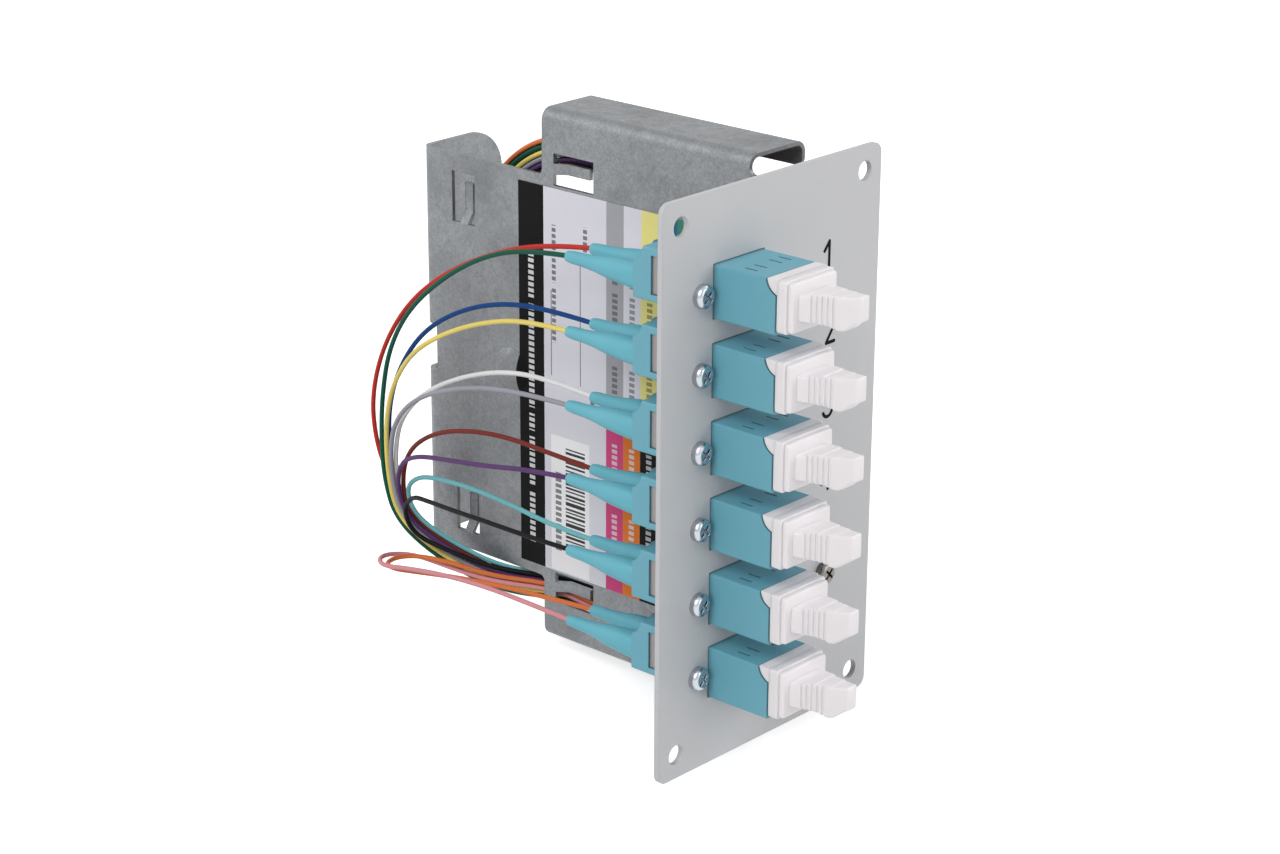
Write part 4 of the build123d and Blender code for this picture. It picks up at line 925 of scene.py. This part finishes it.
INK = moulded("port_ink", linear(6, 6, 7), 0.6, 0.2, 0.000008, 0.0, 3000.0)
INK.node_tree.nodes["Principled BSDF"].inputs["Specular IOR Level"].default_value = 0.08
for number in PORTS:
    port_number(number, INK)


# ---------------------------------------------------------------- floor, light and camera

FLOOR_Z_M, FLOOR_HALF_M, FLOOR_GLOW = -0.0545, 3.0, 0.62
WORLD_LIGHT, WORLD_SEEN = 0.36, 1.0
MIDDLE_M = (0.0, 0.04, 0.0)
# name, place and size in metres, power in watts
LAMPS = [("key", (-0.75, -0.25, 0.75), 0.6, 6.3), ("front", (0.45, -0.95, 0.35), 0.8, 3.9),
         ("rear", (-0.4, 0.9, 0.5), 0.8, 2.8), ("side", (0.9, -0.2, 0.6), 0.8, 3.2)]
# the photograph's own viewpoint, solved from the panel's outline, its holes and the sheet's edges
CAMERA_RIGHT = (0.66948622, -0.742807, 0.00509541)
CAMERA_UP = (0.25006727, 0.23183223, 0.94006392)
CAMERA_BACK = (-0.69946734, -0.62808565, 0.3409602)
CAMERA_PLACE_M = (-0.36951, -0.30261, 0.17915)
SENSOR_W, LENS = 36.0, 83.285


def seen_rays(g):
    """1 where a ray comes from the camera, a reflection or a see-through surface, and 0 for light."""
    rays = g.add("ShaderNodeLightPath").outputs
    mirrored = g.maths("MAXIMUM", rays["Is Glossy Ray"], rays["Is Transmission Ray"])
    return g.maths("MAXIMUM", rays["Is Camera Ray"], mirrored)


def white_when_seen(name, share):
    """A matt pale surface that looks plain white in the picture, and still keeps the object's shadow."""
    material, g, shader = start_material(name)
    tone = g.group("Tone Drift", {"Colour": (0.8, 0.8, 0.8, 1.0), "Amount": 0.01, "Scale": 3.0})["Colour"]
    g.feed(shader.inputs["Base Color"], tone)
    shader.inputs["Roughness"].default_value = 0.9
    shader.inputs["Emission Color"].default_value = (1.0, 1.0, 1.0, 1.0)
    g.feed(shader.inputs["Emission Strength"], g.maths("MULTIPLY", seen_rays(g), share))
    return material


def make_floor():
    half = FLOOR_HALF_M
    corners = [(-half, -half), (half, -half), (half, half), (-half, half)]
    mesh = bpy.data.meshes.new("floor")
    mesh.from_pydata([(x, y, FLOOR_Z_M) for x, y in corners], [], [(0, 1, 2, 3)])
    mesh.materials.append(white_when_seen("floor", FLOOR_GLOW))
    floor = bpy.data.objects.new("floor", mesh)
    bpy.context.scene.collection.objects.link(floor)


def make_world():
    world = bpy.data.worlds.new("studio")
    world.use_nodes = True
    g = Graph(world.node_tree)
    background = world.node_tree.nodes["Background"]
    background.inputs["Color"].default_value = (1.0, 1.0, 1.0, 1.0)
    g.feed(background.inputs["Strength"], g.between(seen_rays(g), 0.0, 1.0, WORLD_LIGHT, WORLD_SEEN))
    bpy.context.scene.world = world


def area_light(name, place, size, power):
    """A square lamp that faces the object."""
    lamp = bpy.data.lights.new(name, "AREA")
    lamp.shape = "SQUARE"
    lamp.size = size
    lamp.energy = power
    light = bpy.data.objects.new(name, lamp)
    bpy.context.scene.collection.objects.link(light)
    light.location = place
    back = np.array(place) - np.array(MIDDLE_M)
    back /= np.linalg.norm(back)
    side = np.cross((0.0, 0.0, 1.0), back)
    side /= np.linalg.norm(side)
    light.rotation_euler = Matrix(np.array([side, np.cross(back, side), back]).T.tolist()).to_euler()


def make_camera():
    camera_data = bpy.data.cameras.new("camera")
    camera_data.sensor_width = SENSOR_W
    camera_data.lens = LENS
    camera_data.clip_start, camera_data.clip_end = 0.01, 20.0
    camera = bpy.data.objects.new("camera", camera_data)
    bpy.context.scene.collection.objects.link(camera)
    rows = [list(row) for row in zip(CAMERA_RIGHT, CAMERA_UP, CAMERA_BACK, CAMERA_PLACE_M)] + [[0, 0, 0, 1]]
    camera.matrix_world = Matrix(rows)
    bpy.context.scene.camera = camera


make_floor()
make_world()
for lamp_name, lamp_place, lamp_size, lamp_power in LAMPS:
    area_light(lamp_name, lamp_place, lamp_size, lamp_power)
make_camera()
bpy.context.scene.view_settings.view_transform = "Standard"
